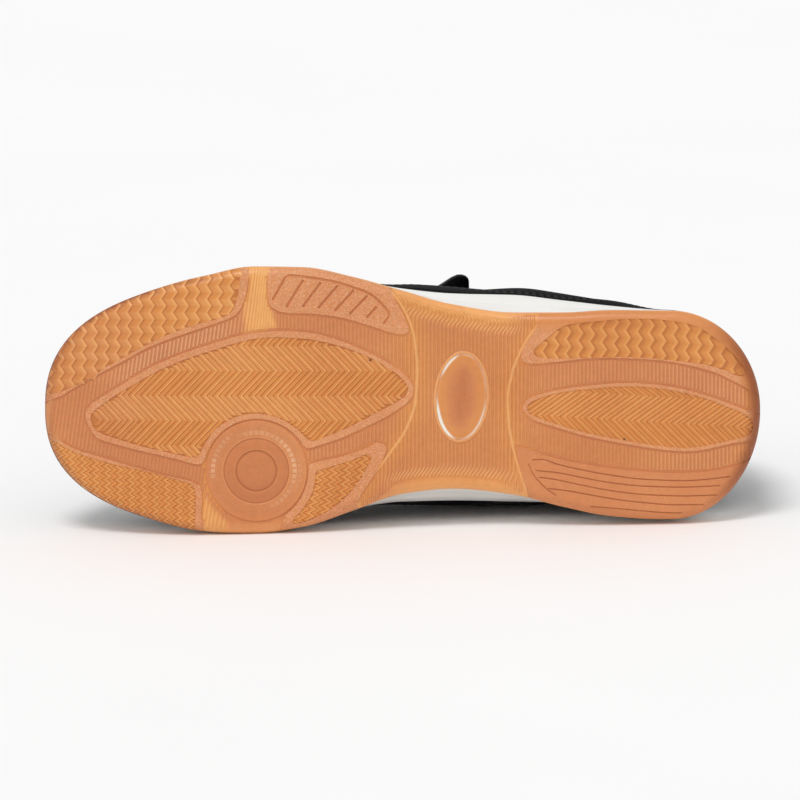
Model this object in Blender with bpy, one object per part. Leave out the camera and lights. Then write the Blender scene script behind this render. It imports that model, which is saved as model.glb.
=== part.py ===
"""A left indoor court shoe with a gum-rubber outsole and hook-and-loop straps, lying on its medial side.

Sizes are in millimetres, and MM turns them into metres. The pieces are modelled in the shoe's own frame:
+X runs from the heel to the toe, +Y to the lateral side and +Z up from the ground it would stand on.
An empty then lays the whole shoe down on its side.
"""

import math
from collections import namedtuple

import bmesh
import bpy
from mathutils import Matrix, Vector

MM = 0.001
LATERAL, MEDIAL = 1, -1

# Driving dimensions
SHOE_LENGTH = 290.0
LUG_HEIGHT = 1.4
RUBBER_THICKNESS = 4.6
RUBBER_EDGE = 4.6
RIM_WIDTH = 3.0
RIM_DEPTH = 1.2
RIM_ROUND = 0.5
GAP = 0.3
WALL = 2.4
UPPER_LEDGE = 1.6
OVERLAY_STEP = 0.8
COLLAR_PAD = 3.0
COLLAR_CROWN = 0.3
INSOLE_THICKNESS = 4.0
INSOLE_CLEARANCE = 0.9
HEEL_CUP = 2.5
INSTEP_CROWN = 9.0
TONGUE_THICKNESS = 4.5
STRAP_THICKNESS = 2.2
STRAP_CLEARANCE = 0.45
TAIL_ROUND = 0.05
SHARP_ANGLE = 40.0

# The loops' ends along the foot, and how their ends are rounded
MIDSOLE_ENDS = (2.0, 287.5)
UPPER_ENDS = (4.5, 284.5)
HEEL_REACH, HEEL_POWER = 36.0, 2.0
TOE_REACH, TOE_POWER = 80.0, 2.4
HALF_LOOP = 36

# Half widths before the ends are rounded
Width = namedtuple("Width", "x lateral medial")
OUTSOLE_WIDTHS = (
    Width(0, 40.0, 43.5),
    Width(40, 40.5, 44.3),
    Width(60, 40.7, 43.1),
    Width(80, 39.7, 39.2),
    Width(100, 39.6, 34.4),
    Width(125, 43.0, 32.0),
    Width(145, 48.6, 34.0),
    Width(165, 54.2, 40.8),
    Width(185, 58.1, 47.4),
    Width(205, 58.4, 50.0),
    Width(225, 55.0, 49.6),
    Width(255, 51.2, 47.2),
    Width(290, 49.6, 46.8),
)
MIDSOLE_WIDTHS = (
    Width(0, 38.2, 41.5),
    Width(40, 39.2, 42.2),
    Width(60, 41.0, 41.4),
    Width(80, 43.6, 39.6),
    Width(100, 46.0, 39.4),
    Width(125, 46.6, 39.0),
    Width(145, 48.4, 39.2),
    Width(165, 52.0, 41.6),
    Width(185, 54.6, 45.2),
    Width(205, 55.2, 47.2),
    Width(225, 52.6, 47.0),
    Width(255, 48.8, 44.8),
    Width(290, 47.4, 44.4),
)

# Side profile: the tread's plane, the top of the rubber wall, and where the upper meets the midsole
Profile = namedtuple("Profile", "x ground rubber feather")
PROFILE = (
    Profile(0, 1.0, 10.0, 27.0),
    Profile(14, 0.0, 8.0, 26.5),
    Profile(75, 0.0, 7.0, 24.5),
    Profile(112, 1.6, 7.2, 22.5),
    Profile(150, 0.0, 7.0, 20.0),
    Profile(214, 0.0, 7.5, 18.5),
    Profile(240, 1.4, 10.0, 19.2),
    Profile(266, 4.6, 14.5, 21.5),
    Profile(290, 9.5, 20.5, 25.5),
)

# Sections of the upper, one for each place along its lower edge. The top edge lies at x + shift and half
# width top_y. The rise and flare shape the wall's foot, and the reach and droop shape its upper part.
Section = namedtuple("Section", "x shift top_y top_z rise flare_lateral flare_medial reach droop")
SECTIONS = (
    Section(0, 5.0, 27.0, 88.0, 22, 16, 16, 22, 78),
    Section(14, 4.5, 28.0, 86.5, 21, 14, 13, 21, 80),
    Section(38, 1.5, 30.0, 78.5, 20, 3, 10, 19, 80),
    Section(64, 0.0, 31.0, 71.5, 21, 19, 13, 18, 72),
    Section(90, 0.0, 30.5, 77.0, 23, 21, 22, 22, 63),
    Section(114, -1.0, 25.5, 92.0, 24, 13, 25, 28, 58),
    Section(140, -4.0, 20.0, 85.5, 24, 9, 22, 26, 42),
    Section(168, -8.0, 17.0, 76.5, 23, 1, 10, 26, 30),
    Section(198, -18.0, 13.5, 69.0, 23, -2, 2, 28, 21),
    Section(232, -39.0, 10.0, 64.0, 23, -5, -3, 37, 15),
    Section(262, -63.0, 7.5, 62.0, 25, -7, -6, 48, 10),
    Section(290, -85.5, 6.5, 61.5, 26, -10, -10, 58, 7),
)

# How far up the wall the raised toe, foxing and heel overlay reaches, as a share of the wall
Overlay = namedtuple("Overlay", "x share")
OVERLAY = (
    Overlay(0, 0.54),
    Overlay(30, 0.50),
    Overlay(70, 0.30),
    Overlay(110, 0.20),
    Overlay(160, 0.19),
    Overlay(205, 0.24),
    Overlay(240, 0.33),
    Overlay(290, 0.42),
)

# The tongue from under the vamp to the throat's corners, sunk below the throat's edges, and its free end
Tongue = namedtuple("Tongue", "x half_width sink")
TONGUE = (
    Tongue(210, 13.0, 10.4),
    Tongue(199, 17.0, 6.8),
    Tongue(190, 20.0, 3.0),
    Tongue(180, 21.5, 1.5),
    Tongue(165, 23.0, 0.8),
    Tongue(148, 24.5, 0.7),
    Tongue(132, 25.0, 0.7),
    Tongue(118, 23.0, 0.0),
)
THROAT_FRONT = 190.0
TongueTip = namedtuple("TongueTip", "x half_width z")
TONGUE_TIP = (
    TongueTip(109.0, 20.5, 104.0),
    TongueTip(104.0, 20.0, 110.5),
    TongueTip(100.5, 16.0, 114.0),
)
TONGUE_ARCH = 8.0

# Hook-and-loop straps: the stretch of the upper's lower edge that each one stands over, how far up the
# medial and lateral walls its ends lie, and how far its rear tail corner stands off the upper
Strap = namedtuple("Strap", "name rear front medial_end lateral_end tail_lift")
STRAPS = (
    Strap("strap_rear", 117.4, 143.4, 0.66, 0.40, 6.0),
    Strap("strap_front", 152.0, 178.0, 0.66, 0.42, 0.0),
)

# Raised tread panels in plan. Points past the sole's edge only carry the panel out to the edge.
PIVOT_CENTRE, PIVOT_RADIUS, PIVOT_GROOVE = (204.0, -24.2), 20.6, 0.6
OVAL_CENTRE, OVAL_HALF_SIZE = (121.0, 5.7), (10.2, 17.6)
PANELS = {
    "toe_lateral": (
        (214, 74), (207.5, 60), (208, 48), (211.5, 40), (218, 36.5), (234, 31), (247, 26), (257, 20.5),
        (269, 14), (278.5, 8.5), (284.5, 5), (294, 5), (298, 40), (250, 74),
    ),
    "forefoot_leaf": (
        (273.2, -3), (271.8, 1.5), (267.3, 5), (259, 10.2), (247, 17.6), (234, 23.3), (218.5, 28.5),
        (207, 31.5), (196, 32.5), (183.5, 32), (172.5, 29.5), (161, 25), (149.5, 19), (143, 14), (140.5, 9),
        (142, 4.5), (149.5, -1), (159, -6), (169.5, -10.8), (178, -13.6), (183.6, -15), (186.5, -11.5),
        (190.5, -7.6), (196.5, -4.4), (204, -3), (212, -4.6), (219, -9.3), (223.4, -15.6), (225.4, -20.4),
        (228.5, -21.6), (238.3, -19.1), (250.7, -16.4), (263.2, -13.2), (269.4, -10.6),
    ),
    "toe_medial": (
        (296, -9), (277.5, -16), (265.5, -19.5), (253, -23), (240, -26.5), (232.5, -28), (227, -30.5),
        (226, -36), (226.5, -42), (227, -58), (262, -58), (298, -36),
    ),
    "lateral_pad": (
        (190, 74), (198.5, 58), (199, 45), (196.5, 41.5), (192, 40), (180.5, 39.5), (169.5, 38), (159, 35),
        (148, 31.5), (143.5, 31.5), (142.5, 34), (145.5, 41), (149.5, 48.5), (156, 64), (168, 74),
    ),
    "medial_wedge": (
        (181.6, -21.2), (169.3, -18.3), (159, -14.6), (155.4, -12.6), (151.8, -14), (152, -18),
        (156.8, -26.6), (162.5, -36), (167, -54), (194, -58), (193, -44), (188.6, -38.8), (185.2, -33.6),
        (183.4, -28.5), (182.9, -23.5),
    ),
    "heel_lateral": (
        (86, 44), (91, 33.5), (96.5, 24.5), (95, 19.5), (83, 20), (69, 21.5), (54.5, 21.5), (39.5, 20.5),
        (28.5, 18.5), (18, 15.5), (8.5, 11), (-6, 5), (-8, 34), (20, 54), (60, 56),
    ),
    "heel_leaf": (
        (96, 0.5), (94, 5), (83, 8.5), (69, 10.5), (54.5, 11.5), (39.5, 10.5), (25.5, 7.5), (11, 2.5),
        (-6, -5), (-6, -10), (11, -13), (25.5, -16), (36, -16), (50.5, -14), (69, -10.5), (83, -6.5),
        (92, -3.5),
    ),
    "heel_medial": (
        (98.5, -15), (87, -18), (76.5, -20.5), (61.5, -23), (47, -24.5), (32.5, -25), (18, -24), (7, -21),
        (-6, -17), (-4, -44), (30, -60), (70, -58), (88, -50), (94.5, -33),
    ),
}
CURVE_STEPS = 3
PIVOT_STEPS, OVAL_STEPS = 40, 32
PANEL_REACH = (-5.0, 30.0)

# How the rubber's lower edge rolls up to the side: inset from the sole's edge, and height over the groove
# floor for the base and over the tread's plane for the raised panels
Roll = namedtuple("Roll", "inset height")
BASE_ROLL = (Roll(5.0, 0.0), Roll(2.0, 0.6), Roll(0.6, 1.8))
PANEL_ROLL = (Roll(6.0, 0.0), Roll(3.4, 0.3), Roll(1.2, 1.9), Roll(1.5, RUBBER_THICKNESS - 1.0))

# The midsole's side from the rubber up: share of the way, and how deep the moulded groove cuts in there
Side = namedtuple("Side", "share depth")
MIDSOLE_SIDE = (
    Side(0.0, 0.0),
    Side(0.45, 0.0),
    Side(0.52, 0.9),
    Side(0.60, 0.9),
    Side(0.67, 0.0),
    Side(0.92, 0.0),
)
MIDSOLE_INSET = 1.0

# Colours as they look in daylight, with the roughness of each material
Finish = namedtuple("Finish", "red green blue roughness")
FINISHES = {
    "gum_rubber": Finish(0.66, 0.27, 0.085, 0.45),
    "white_foam": Finish(0.86, 0.86, 0.83, 0.55),
    "black_synthetic": Finish(0.018, 0.018, 0.020, 0.50),
    "black_textile": Finish(0.022, 0.022, 0.024, 0.85),
    "strap_synthetic": Finish(0.020, 0.020, 0.022, 0.60),
    "lining": Finish(0.030, 0.030, 0.033, 0.95),
}

# Mass per volume in kg/m3, which sets where the shoe balances as it lies
DENSITIES = {
    "outsole": 1100.0,
    "midsole": 260.0,
    "insole": 200.0,
    "upper": 700.0,
    "tongue": 350.0,
    "strap_rear": 800.0,
    "strap_front": 800.0,
}


# Curves and tables

def slope_at(rows, column, i):
    """Slope at row i, kept so that the curve never swings past its rows."""
    def secant(j):
        return (rows[j + 1][column] - rows[j][column]) / (rows[j + 1][0] - rows[j][0])

    if i == 0 or i == len(rows) - 1:
        return secant(min(i, len(rows) - 2))
    before, after = secant(i - 1), secant(i)
    return 2 * before * after / (before + after) if before * after > 0 else 0.0


def read(rows, column, x):
    """A table's column at x along the foot, on a smooth cubic through its rows."""
    column = rows[0]._fields.index(column)
    x = min(max(x, rows[0][0]), rows[-1][0])
    i = max(j for j in range(len(rows) - 1) if rows[j][0] <= x)
    step = rows[i + 1][0] - rows[i][0]
    t = (x - rows[i][0]) / step
    return (
        rows[i][column] * (1 + 2 * t) * (1 - t) ** 2
        + rows[i + 1][column] * t * t * (3 - 2 * t)
        + slope_at(rows, column, i) * step * t * (1 - t) ** 2
        - slope_at(rows, column, i + 1) * step * t * t * (1 - t)
    )


def ease(value, low, high):
    """0 below low, 1 above high, and smooth between them."""
    t = min(max((value - low) / (high - low), 0.0), 1.0)
    return t * t * (3 - 2 * t)


def end_shape(distance, reach, power):
    """Share of the full width at a distance from a rounded end."""
    if distance >= reach:
        return 1.0
    return (1 - ((reach - max(distance, 0.0)) / reach) ** power) ** (1 / power)


def ends(x, start, end):
    return end_shape(x - start, HEEL_REACH, HEEL_POWER) * end_shape(end - x, TOE_REACH, TOE_POWER)


def closed_curve(points):
    """A smooth closed curve through the points."""
    curve = []
    for i in range(len(points)):
        a, b, c, d = (Vector(points[(i + j) % len(points)]) for j in (-1, 0, 1, 2))
        for step in range(CURVE_STEPS):
            t = step / CURVE_STEPS
            curve.append(
                b + (c - a) * (t / 2) + (2 * a - 5 * b + 4 * c - d) * (t * t / 2)
                + (3 * b - a - 3 * c + d) * (t ** 3 / 2)
            )
    return curve


def loop_angles():
    """One angle for each place round the shoe: 0 at the heel, pi at the toe, then the medial side."""
    return [math.pi * k / HALF_LOOP for k in range(2 * HALF_LOOP)]


def place_at(angle, start, end):
    """Place along the foot, and the side, at an angle round a loop."""
    return start + (end - start) * (1 - math.cos(angle)) / 2, LATERAL if math.sin(angle) >= 0 else MEDIAL


def angle_at(x, side, start, end):
    angle = math.acos(1 - 2 * (x - start) / (end - start))
    return angle if side == LATERAL else 2 * math.pi - angle


def half_width(widths, x, side, start, end):
    return read(widths, "lateral" if side == LATERAL else "medial", x) * ends(x, start, end)


def outline(widths, start, end):
    """A closed plan loop from the heel along the lateral side to the toe and back."""
    loop = []
    for angle in loop_angles():
        x, side = place_at(angle, start, end)
        loop.append(Vector((x, side * half_width(widths, x, side, start, end))))
    return loop


def inset(loop, distance):
    """The plan loop moved inwards by a distance."""
    moved = []
    for k, point in enumerate(loop):
        along = (loop[(k + 1) % len(loop)] - loop[k - 1]).normalized()
        moved.append(point + Vector((along.y, -along.x)) * distance)
    return moved


def lift(loop, height):
    """A plan loop raised to a height that is a function of x."""
    return [Vector((p.x, p.y, height(p.x))) for p in loop]


# Heights along the foot

def ground(x):
    return read(PROFILE, "ground", x)


def rubber(x):
    return read(PROFILE, "rubber", x)


def feather(x):
    return read(PROFILE, "feather", x)


def tray_floor(x):
    """Inside of the outsole's tray, under the midsole."""
    return min(ground(x) + RUBBER_THICKNESS, rubber(x) - RIM_DEPTH)


# The upper's own surface

def upper_line(angle):
    """The four control points of the wall's curve from its lower edge to its top edge."""
    start, end = UPPER_ENDS
    x, side = place_at(angle, start, end)
    edge = half_width(MIDSOLE_WIDTHS, x, side, *MIDSOLE_ENDS) - UPPER_LEDGE
    edge = min(edge, half_width(MIDSOLE_WIDTHS, x, side, start, end))
    foot = Vector((x, side * edge, feather(x) + GAP))
    top_y = read(SECTIONS, "top_y", x) * ends(x, start, end)
    top = Vector((x + read(SECTIONS, "shift", x), side * top_y, read(SECTIONS, "top_z", x)))
    out = Vector((foot.x - top.x, foot.y - top.y, 0)).normalized()
    flare = math.radians(read(SECTIONS, "flare_lateral" if side == LATERAL else "flare_medial", x))
    droop = math.radians(read(SECTIONS, "droop", x))
    up = Vector((0, 0, 1))
    low = foot + read(SECTIONS, "rise", x) * (math.cos(flare) * up + math.sin(flare) * out)
    high = top + read(SECTIONS, "reach", x) * (math.cos(droop) * out - math.sin(droop) * up)
    return foot, low, high, top


def upper_point(angle, t):
    a, b, c, d = upper_line(angle)
    return a * (1 - t) ** 3 + b * 3 * t * (1 - t) ** 2 + c * 3 * t * t * (1 - t) + d * t ** 3


def upper_normal(angle, t):
    """Outward direction, from small steps round the shoe and up the wall."""
    step = 0.01
    round_step = upper_point(angle + step, t) - upper_point(angle - step, t)
    up_step = upper_point(angle, min(t + step, 1)) - upper_point(angle, max(t - step, 0))
    if t == 0:
        up_step = Vector((0, 0, 1))
    return up_step.cross(round_step).normalized()


def wall_at(angle, t):
    """Thickness of the wall, with the collar's padding."""
    x, _ = place_at(angle, *UPPER_ENDS)
    return WALL + COLLAR_PAD * ease(t, 0.5, 0.92) * (1 - ease(x, 98, 120))


def overlay_share(angle):
    x, _ = place_at(angle, *UPPER_ENDS)
    return read(OVERLAY, "share", x)


# Meshes

def skin(name, loops, closed=False):
    """A solid through loops of equally many points, with ends filled across, or closed on itself."""
    bm = bmesh.new()
    rings = [[bm.verts.new(p * MM) for p in loop] for loop in loops]
    count = len(loops[0])
    pairs = list(zip(rings, rings[1:]))
    if closed:
        pairs.append((rings[-1], rings[0]))
    for lower, upper in pairs:
        for k in range(count):
            n = (k + 1) % count
            bm.faces.new((lower[k], lower[n], upper[n], upper[k]))
    for ring in () if closed else (rings[0], rings[-1]):
        for k in range(count // 2):
            corners = (ring[k], ring[k + 1], ring[count - k - 1], ring[-k])
            bm.faces.new(sorted(set(corners), key=corners.index))
    return finish_mesh(name, bm)


def slab(name, top, bottom):
    """A solid between two grids of equally many points."""
    bm = bmesh.new()
    upper = [[bm.verts.new(p * MM) for p in row] for row in top]
    lower = [[bm.verts.new(p * MM) for p in row] for row in bottom]
    rows, columns = len(top), len(top[0])
    for grid in (upper, lower):
        for i in range(rows - 1):
            for j in range(columns - 1):
                bm.faces.new((grid[i][j], grid[i][j + 1], grid[i + 1][j + 1], grid[i + 1][j]))
    border = [(0, j) for j in range(columns)] + [(i, columns - 1) for i in range(1, rows)]
    border += [(rows - 1, j) for j in range(columns - 2, -1, -1)] + [(i, 0) for i in range(rows - 2, 0, -1)]
    for (i, j), (m, n) in zip(border, border[1:] + border[:1]):
        bm.faces.new((upper[i][j], upper[m][n], lower[m][n], lower[i][j]))
    return finish_mesh(name, bm)


def finish_mesh(name, bm):
    bmesh.ops.recalc_face_normals(bm, faces=bm.faces)
    mesh = bpy.data.meshes.new(name)
    bm.to_mesh(mesh)
    bm.free()
    mesh.shade_smooth()
    mesh.set_sharp_from_angle(angle=math.radians(SHARP_ANGLE))
    return bpy.data.objects.new(name, mesh)


def prisms(name, outlines, low, high):
    """Upright prisms on closed plan outlines, as one object."""
    bm = bmesh.new()
    for plan in outlines:
        lower = [bm.verts.new(Vector((p.x, p.y, low)) * MM) for p in plan]
        upper = [bm.verts.new(Vector((p.x, p.y, high)) * MM) for p in plan]
        bm.faces.new(lower)
        bm.faces.new(upper)
        for k in range(len(plan)):
            bm.faces.new((lower[k - 1], lower[k], upper[k], upper[k - 1]))
    return finish_mesh(name, bm)


def boolean(target, operation, other):
    modifier = target.modifiers.new(f"{operation.lower()}_{other.name}", "BOOLEAN")
    modifier.operation = operation
    modifier.object = other


# Pieces

def clear_of_pivot(points):
    """A panel's outline with the points that reach into the pivot's groove pushed out of it."""
    centre = Vector(PIVOT_CENTRE)
    least = PIVOT_RADIUS + PIVOT_GROOVE
    pushed = []
    for p in points:
        off = p - centre
        pushed.append(centre + off.normalized() * least if off.length < least else p)
    return pushed


def ellipse(centre, half_x, half_y, count):
    angles = [2 * math.pi * k / count for k in range(count)]
    return [Vector((centre[0] + half_x * math.cos(a), centre[1] + half_y * math.sin(a))) for a in angles]


def make_outsole(cutters):
    edge = outline(OUTSOLE_WIDTHS, 0, SHOE_LENGTH)

    def rolled(rolls, floor):
        """The edge's loops for a roll that starts from a floor over the tread's plane."""
        return [
            lift(inset(edge, roll.inset), lambda x, height=floor + roll.height: ground(x) + height)
            for roll in rolls
        ]

    base = skin("outsole", rolled(BASE_ROLL, LUG_HEIGHT) + [
        lift(edge, lambda x: ground(x) + RUBBER_EDGE),
        lift(inset(edge, 0.6 * RIM_ROUND), lambda x: rubber(x) - RIM_ROUND),
        lift(inset(edge, 1.6 * RIM_ROUND), rubber),
        lift(inset(edge, RIM_WIDTH), rubber),
        lift(inset(edge, RIM_WIDTH + 0.1), tray_floor),
    ])
    lugs = skin("tread_level", rolled(PANEL_ROLL, 0.0))
    plans = [clear_of_pivot(closed_curve(points)) for points in PANELS.values()]
    plans.append(ellipse(PIVOT_CENTRE, PIVOT_RADIUS, PIVOT_RADIUS, PIVOT_STEPS))
    plans.append(ellipse(OVAL_CENTRE, *OVAL_HALF_SIZE, OVAL_STEPS))
    panels = prisms("panels", plans, *PANEL_REACH)
    boolean(lugs, "INTERSECT", panels)
    boolean(base, "UNION", lugs)
    for helper in (lugs, panels):
        cutters.objects.link(helper)
        helper.hide_render = True
        helper.display_type = "WIRE"
    return base


def make_midsole():
    """White foam between the rubber tray and the upper, flared at the waist, with a moulded side groove."""
    edge = outline(OUTSOLE_WIDTHS, 0, SHOE_LENGTH)
    top = outline(MIDSOLE_WIDTHS, *MIDSOLE_ENDS)
    low = inset(edge, MIDSOLE_INSET)

    def side_loop(share, depth):
        """The side wall a share of the way up from the rubber, cut in by a depth."""
        plan = inset([a.lerp(b, share) for a, b in zip(low, top)], depth)
        return lift(plan, lambda x: rubber(x) + GAP + share * (feather(x) - rubber(x) - GAP))

    return skin("midsole", [
        lift(inset(edge, RIM_WIDTH + 0.6), lambda x: tray_floor(x) + GAP),
        lift(inset(edge, RIM_WIDTH + 0.5), lambda x: rubber(x) + GAP),
        *(side_loop(*step) for step in MIDSOLE_SIDE),
        lift(inset(top, MIDSOLE_INSET), feather),
    ])


def make_upper():
    """Hollow wall, open at the collar and throat and underneath, with a raised overlay round its foot."""
    angles = loop_angles()
    outer_steps = [("overlay", 0.0), ("overlay", 0.5), ("overlay", 0.97), ("wall", 0.02)]
    outer_steps += [("wall", share) for share in (0.22, 0.42, 0.62, 0.82, 1.0)]
    loops = []
    for kind, share in outer_steps:
        loop = []
        for angle in angles:
            border = overlay_share(angle)
            t = share * border if kind == "overlay" else border + share * (1 - border)
            step = OVERLAY_STEP if kind == "overlay" else 0.0
            loop.append(upper_point(angle, t) + upper_normal(angle, t) * step)
        loops.append(loop)
    rim = []
    for angle in angles:
        wall = wall_at(angle, 1.0)
        up = (upper_point(angle, 1.0) - upper_point(angle, 0.97)).normalized()
        rim.append(upper_point(angle, 1.0) - upper_normal(angle, 1.0) * wall / 2 + up * wall * COLLAR_CROWN)
    loops.append(rim)
    for t in (1.0, 0.85, 0.7, 0.5, 0.3, 0.14, 0.0):
        loops.append([upper_point(a, t) - upper_normal(a, t) * wall_at(a, t) for a in angles])
    return skin("upper", loops, closed=True)


def inside_at(angle, height):
    """Point of the upper's inside face at a height over the midsole, in plan."""
    low, high = 0.0, 0.6
    floor = upper_point(angle, 0.0).z
    for _ in range(30):
        t = (low + high) / 2
        point = upper_point(angle, t) - upper_normal(angle, t) * wall_at(angle, t)
        low, high = (t, high) if point.z - floor < height else (low, t)
    return Vector((point.x, point.y))


def make_insole():
    """Sock liner inside the upper's foot, cupped at the heel."""
    def cup(x, height):
        return INSOLE_THICKNESS + height * (1 - ease(x, 40, 130))

    foot = inset([inside_at(a, 0.0) for a in loop_angles()], INSOLE_CLEARANCE)
    brim = inset([inside_at(a, INSOLE_THICKNESS + HEEL_CUP) for a in loop_angles()], INSOLE_CLEARANCE)
    middle = Vector((SHOE_LENGTH / 2, 0))
    narrow = [min(a, b, key=lambda p: (p - middle).length) for a, b in zip(foot, brim)]
    return skin("insole", [
        lift(inset(narrow, 2.0), lambda x: feather(x) + GAP),
        lift(narrow, lambda x: feather(x) + GAP + 1.2),
        lift(inset(narrow, 0.2), lambda x: feather(x) + GAP + cup(x, HEEL_CUP)),
        lift(inset(narrow, 2.4), lambda x: feather(x) + GAP + cup(x, 0.7 * HEEL_CUP)),
        lift(inset(narrow, 11.0), lambda x: feather(x) + GAP + INSOLE_THICKNESS),
    ])


def throat_at(x):
    """Half width, height and slope of the throat's edge at a place along the foot, and the wall there."""
    low, high = UPPER_ENDS
    for _ in range(40):
        middle = (low + high) / 2
        low, high = (middle, high) if middle + read(SECTIONS, "shift", middle) < x else (low, middle)
    angle = angle_at(low, LATERAL, *UPPER_ENDS)
    top = upper_point(angle, 1.0)
    return top.y, top.z, math.radians(read(SECTIONS, "droop", low)), wall_at(angle, 1.0)


def crown_at(half, droop):
    """How much higher the middle of the instep stands than the throat's edges."""
    return min(half * math.tan(droop) / 2, INSTEP_CROWN)


def tongue_height(x, y):
    half, height, droop, wall = throat_at(min(x, THROAT_FRONT))
    edge = height - (wall + 2 * GAP) / math.cos(droop)
    if abs(y) <= half:
        return edge + crown_at(half, droop) * (1 - (y / half) ** 2)
    return edge - math.tan(droop) * 1.1 * (abs(y) - half)


def make_tongue():
    """Padded tongue from under the vamp up to its free end above the throat."""
    across = (-1.0, -0.8, -0.55, -0.28, 0.0, 0.28, 0.55, 0.8, 1.0)
    top = []
    for r in TONGUE:
        sides = [s * r.half_width for s in across]
        top.append([Vector((r.x, y, tongue_height(r.x, y) - r.sink)) for y in sides])
    for r in TONGUE_TIP:
        top.append([Vector((r.x, s * r.half_width, r.z - TONGUE_ARCH * s * s)) for s in across])
    bottom = []
    for i, row in enumerate(top):
        along = top[min(i + 1, len(top) - 1)][4] - top[max(i - 1, 0)][4]
        up = Vector((along.z, 0, -along.x)).normalized()
        bottom.append([p - up * TONGUE_THICKNESS for p in row])
    return slab("tongue", top, bottom)


def strap_path(strap, share):
    """Points under the strap from its medial end over the throat to its lateral tail, and the way out.

    The share runs from 0 at the strap's rear edge to 1 at its front edge."""
    x = strap.rear + share * (strap.front - strap.rear)
    round_off = TAIL_ROUND * (2 * share - 1) ** 2
    path = []
    medial = angle_at(x, MEDIAL, *UPPER_ENDS)
    for k in range(4):
        t = strap.medial_end + (1.0 - strap.medial_end) * k / 4
        path.append((upper_point(medial, t), upper_normal(medial, t)))
    lateral = angle_at(x, LATERAL, *UPPER_ENDS)
    top = upper_point(lateral, 1.0)
    droop = math.radians(read(SECTIONS, "droop", x))
    crown = crown_at(top.y, droop)
    for k in range(7):
        y = top.y * (k / 3 - 1)
        rise = 2 * crown * y / top.y ** 2
        path.append((
            Vector((top.x, y, top.z + crown * (1 - (y / top.y) ** 2))),
            Vector((0, rise, 1)).normalized(),
        ))
    for k in range(1, 9):
        t = 1.0 - (1.0 - strap.lateral_end - round_off) * k / 8
        normal = upper_normal(lateral, t)
        stand_off = strap.tail_lift * ease(k / 8, 0.45, 1.0) * (1 - ease(share, 0.1, 0.75))
        path.append((upper_point(lateral, t) + normal * stand_off, normal))
    return path


def make_strap(strap):
    paths = [strap_path(strap, share) for share in (0.0, 0.2, 0.5, 0.8, 1.0)]
    bottom = [[p + n * STRAP_CLEARANCE for p, n in path] for path in paths]
    top = [[p + n * (STRAP_CLEARANCE + STRAP_THICKNESS) for p, n in path] for path in paths]
    return slab(strap.name, top, bottom)


# The shoe at rest

def mass_points(pieces):
    """All corners of the pieces, and the point that they balance at."""
    graph = bpy.context.evaluated_depsgraph_get()
    corners, moment, mass = [], Vector(), 0.0
    for piece in pieces:
        evaluated = piece.evaluated_get(graph)
        mesh = evaluated.to_mesh()
        mesh.calc_loop_triangles()
        points = [v.co.copy() for v in mesh.vertices]
        corners += points
        for triangle in mesh.loop_triangles:
            a, b, c = (points[i] for i in triangle.vertices)
            weight = a.dot(b.cross(c)) / 6 * DENSITIES[piece.name]
            moment += (a + b + c) / 4 * weight
            mass += weight
        evaluated.to_mesh_clear()
    return corners, moment / mass


def resting_face(corners, balance):
    """Corners and outward normal of the medial face of the shoe's hull that it balances on."""
    bm = bmesh.new()
    for corner in corners:
        bm.verts.new(corner)
    bmesh.ops.convex_hull(bm, input=bm.verts)
    bmesh.ops.recalc_face_normals(bm, faces=bm.faces)
    found = None
    for face in bm.faces:
        normal = face.normal
        if normal.y * MEDIAL < 0.8:
            continue
        foot = balance - normal * (balance - face.verts[0].co).dot(normal)
        a, b, c = (v.co for v in face.verts)
        inside = [(q - p).cross(foot - p).dot(normal) for p, q in ((a, b), (b, c), (c, a))]
        if min(inside) >= 0:
            found = ([a.copy(), b.copy(), c.copy()], normal.copy())
    bm.free()
    return found


def lay_down(pieces, frame):
    """Turns the frame so that the shoe lies on its medial side, sole towards -Y and toe towards -X."""
    bpy.context.view_layer.update()
    corners, balance = mass_points(pieces)
    (a, _, _), down = resting_face(corners, balance)
    toe = Vector((1, 0, 0))
    toe = (toe - down * toe.dot(down)).normalized()
    turn = Matrix((-toe, down.cross(toe), -down))
    turned = [turn @ corner for corner in corners]
    low = [min(p[i] for p in turned) for i in range(3)]
    high = [max(p[i] for p in turned) for i in range(3)]
    shift = Vector((-(low[0] + high[0]) / 2, -(low[1] + high[1]) / 2, -(turn @ a).z))
    frame.matrix_world = Matrix.Translation(shift) @ turn.to_4x4()


def material(name):
    finish = FINISHES[name]
    made = bpy.data.materials.new(name)
    made.use_nodes = True
    shader = made.node_tree.nodes["Principled BSDF"]
    shader.inputs["Base Color"].default_value = (finish.red, finish.green, finish.blue, 1.0)
    shader.inputs["Roughness"].default_value = finish.roughness
    shader.inputs["Metallic"].default_value = 0.0
    return made


def main():
    for old in list(bpy.data.objects):
        bpy.data.objects.remove(old)
    shoe = bpy.data.collections.new("indoor_court_shoe")
    cutters = bpy.data.collections.new("cutters")
    for collection in (shoe, cutters):
        bpy.context.scene.collection.children.link(collection)
    pieces = [
        (make_outsole(cutters), "gum_rubber"),
        (make_midsole(), "white_foam"),
        (make_insole(), "lining"),
        (make_upper(), "black_synthetic"),
        (make_tongue(), "black_textile"),
    ]
    pieces += [(make_strap(strap), "strap_synthetic") for strap in STRAPS]
    frame = bpy.data.objects.new("shoe_frame", None)
    shoe.objects.link(frame)
    for piece, finish in pieces:
        shoe.objects.link(piece)
        piece.data.materials.append(material(finish))
    lay_down([piece for piece, _ in pieces], frame)
    for piece in [piece for piece, _ in pieces] + list(cutters.objects):
        piece.parent = frame


main()
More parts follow.
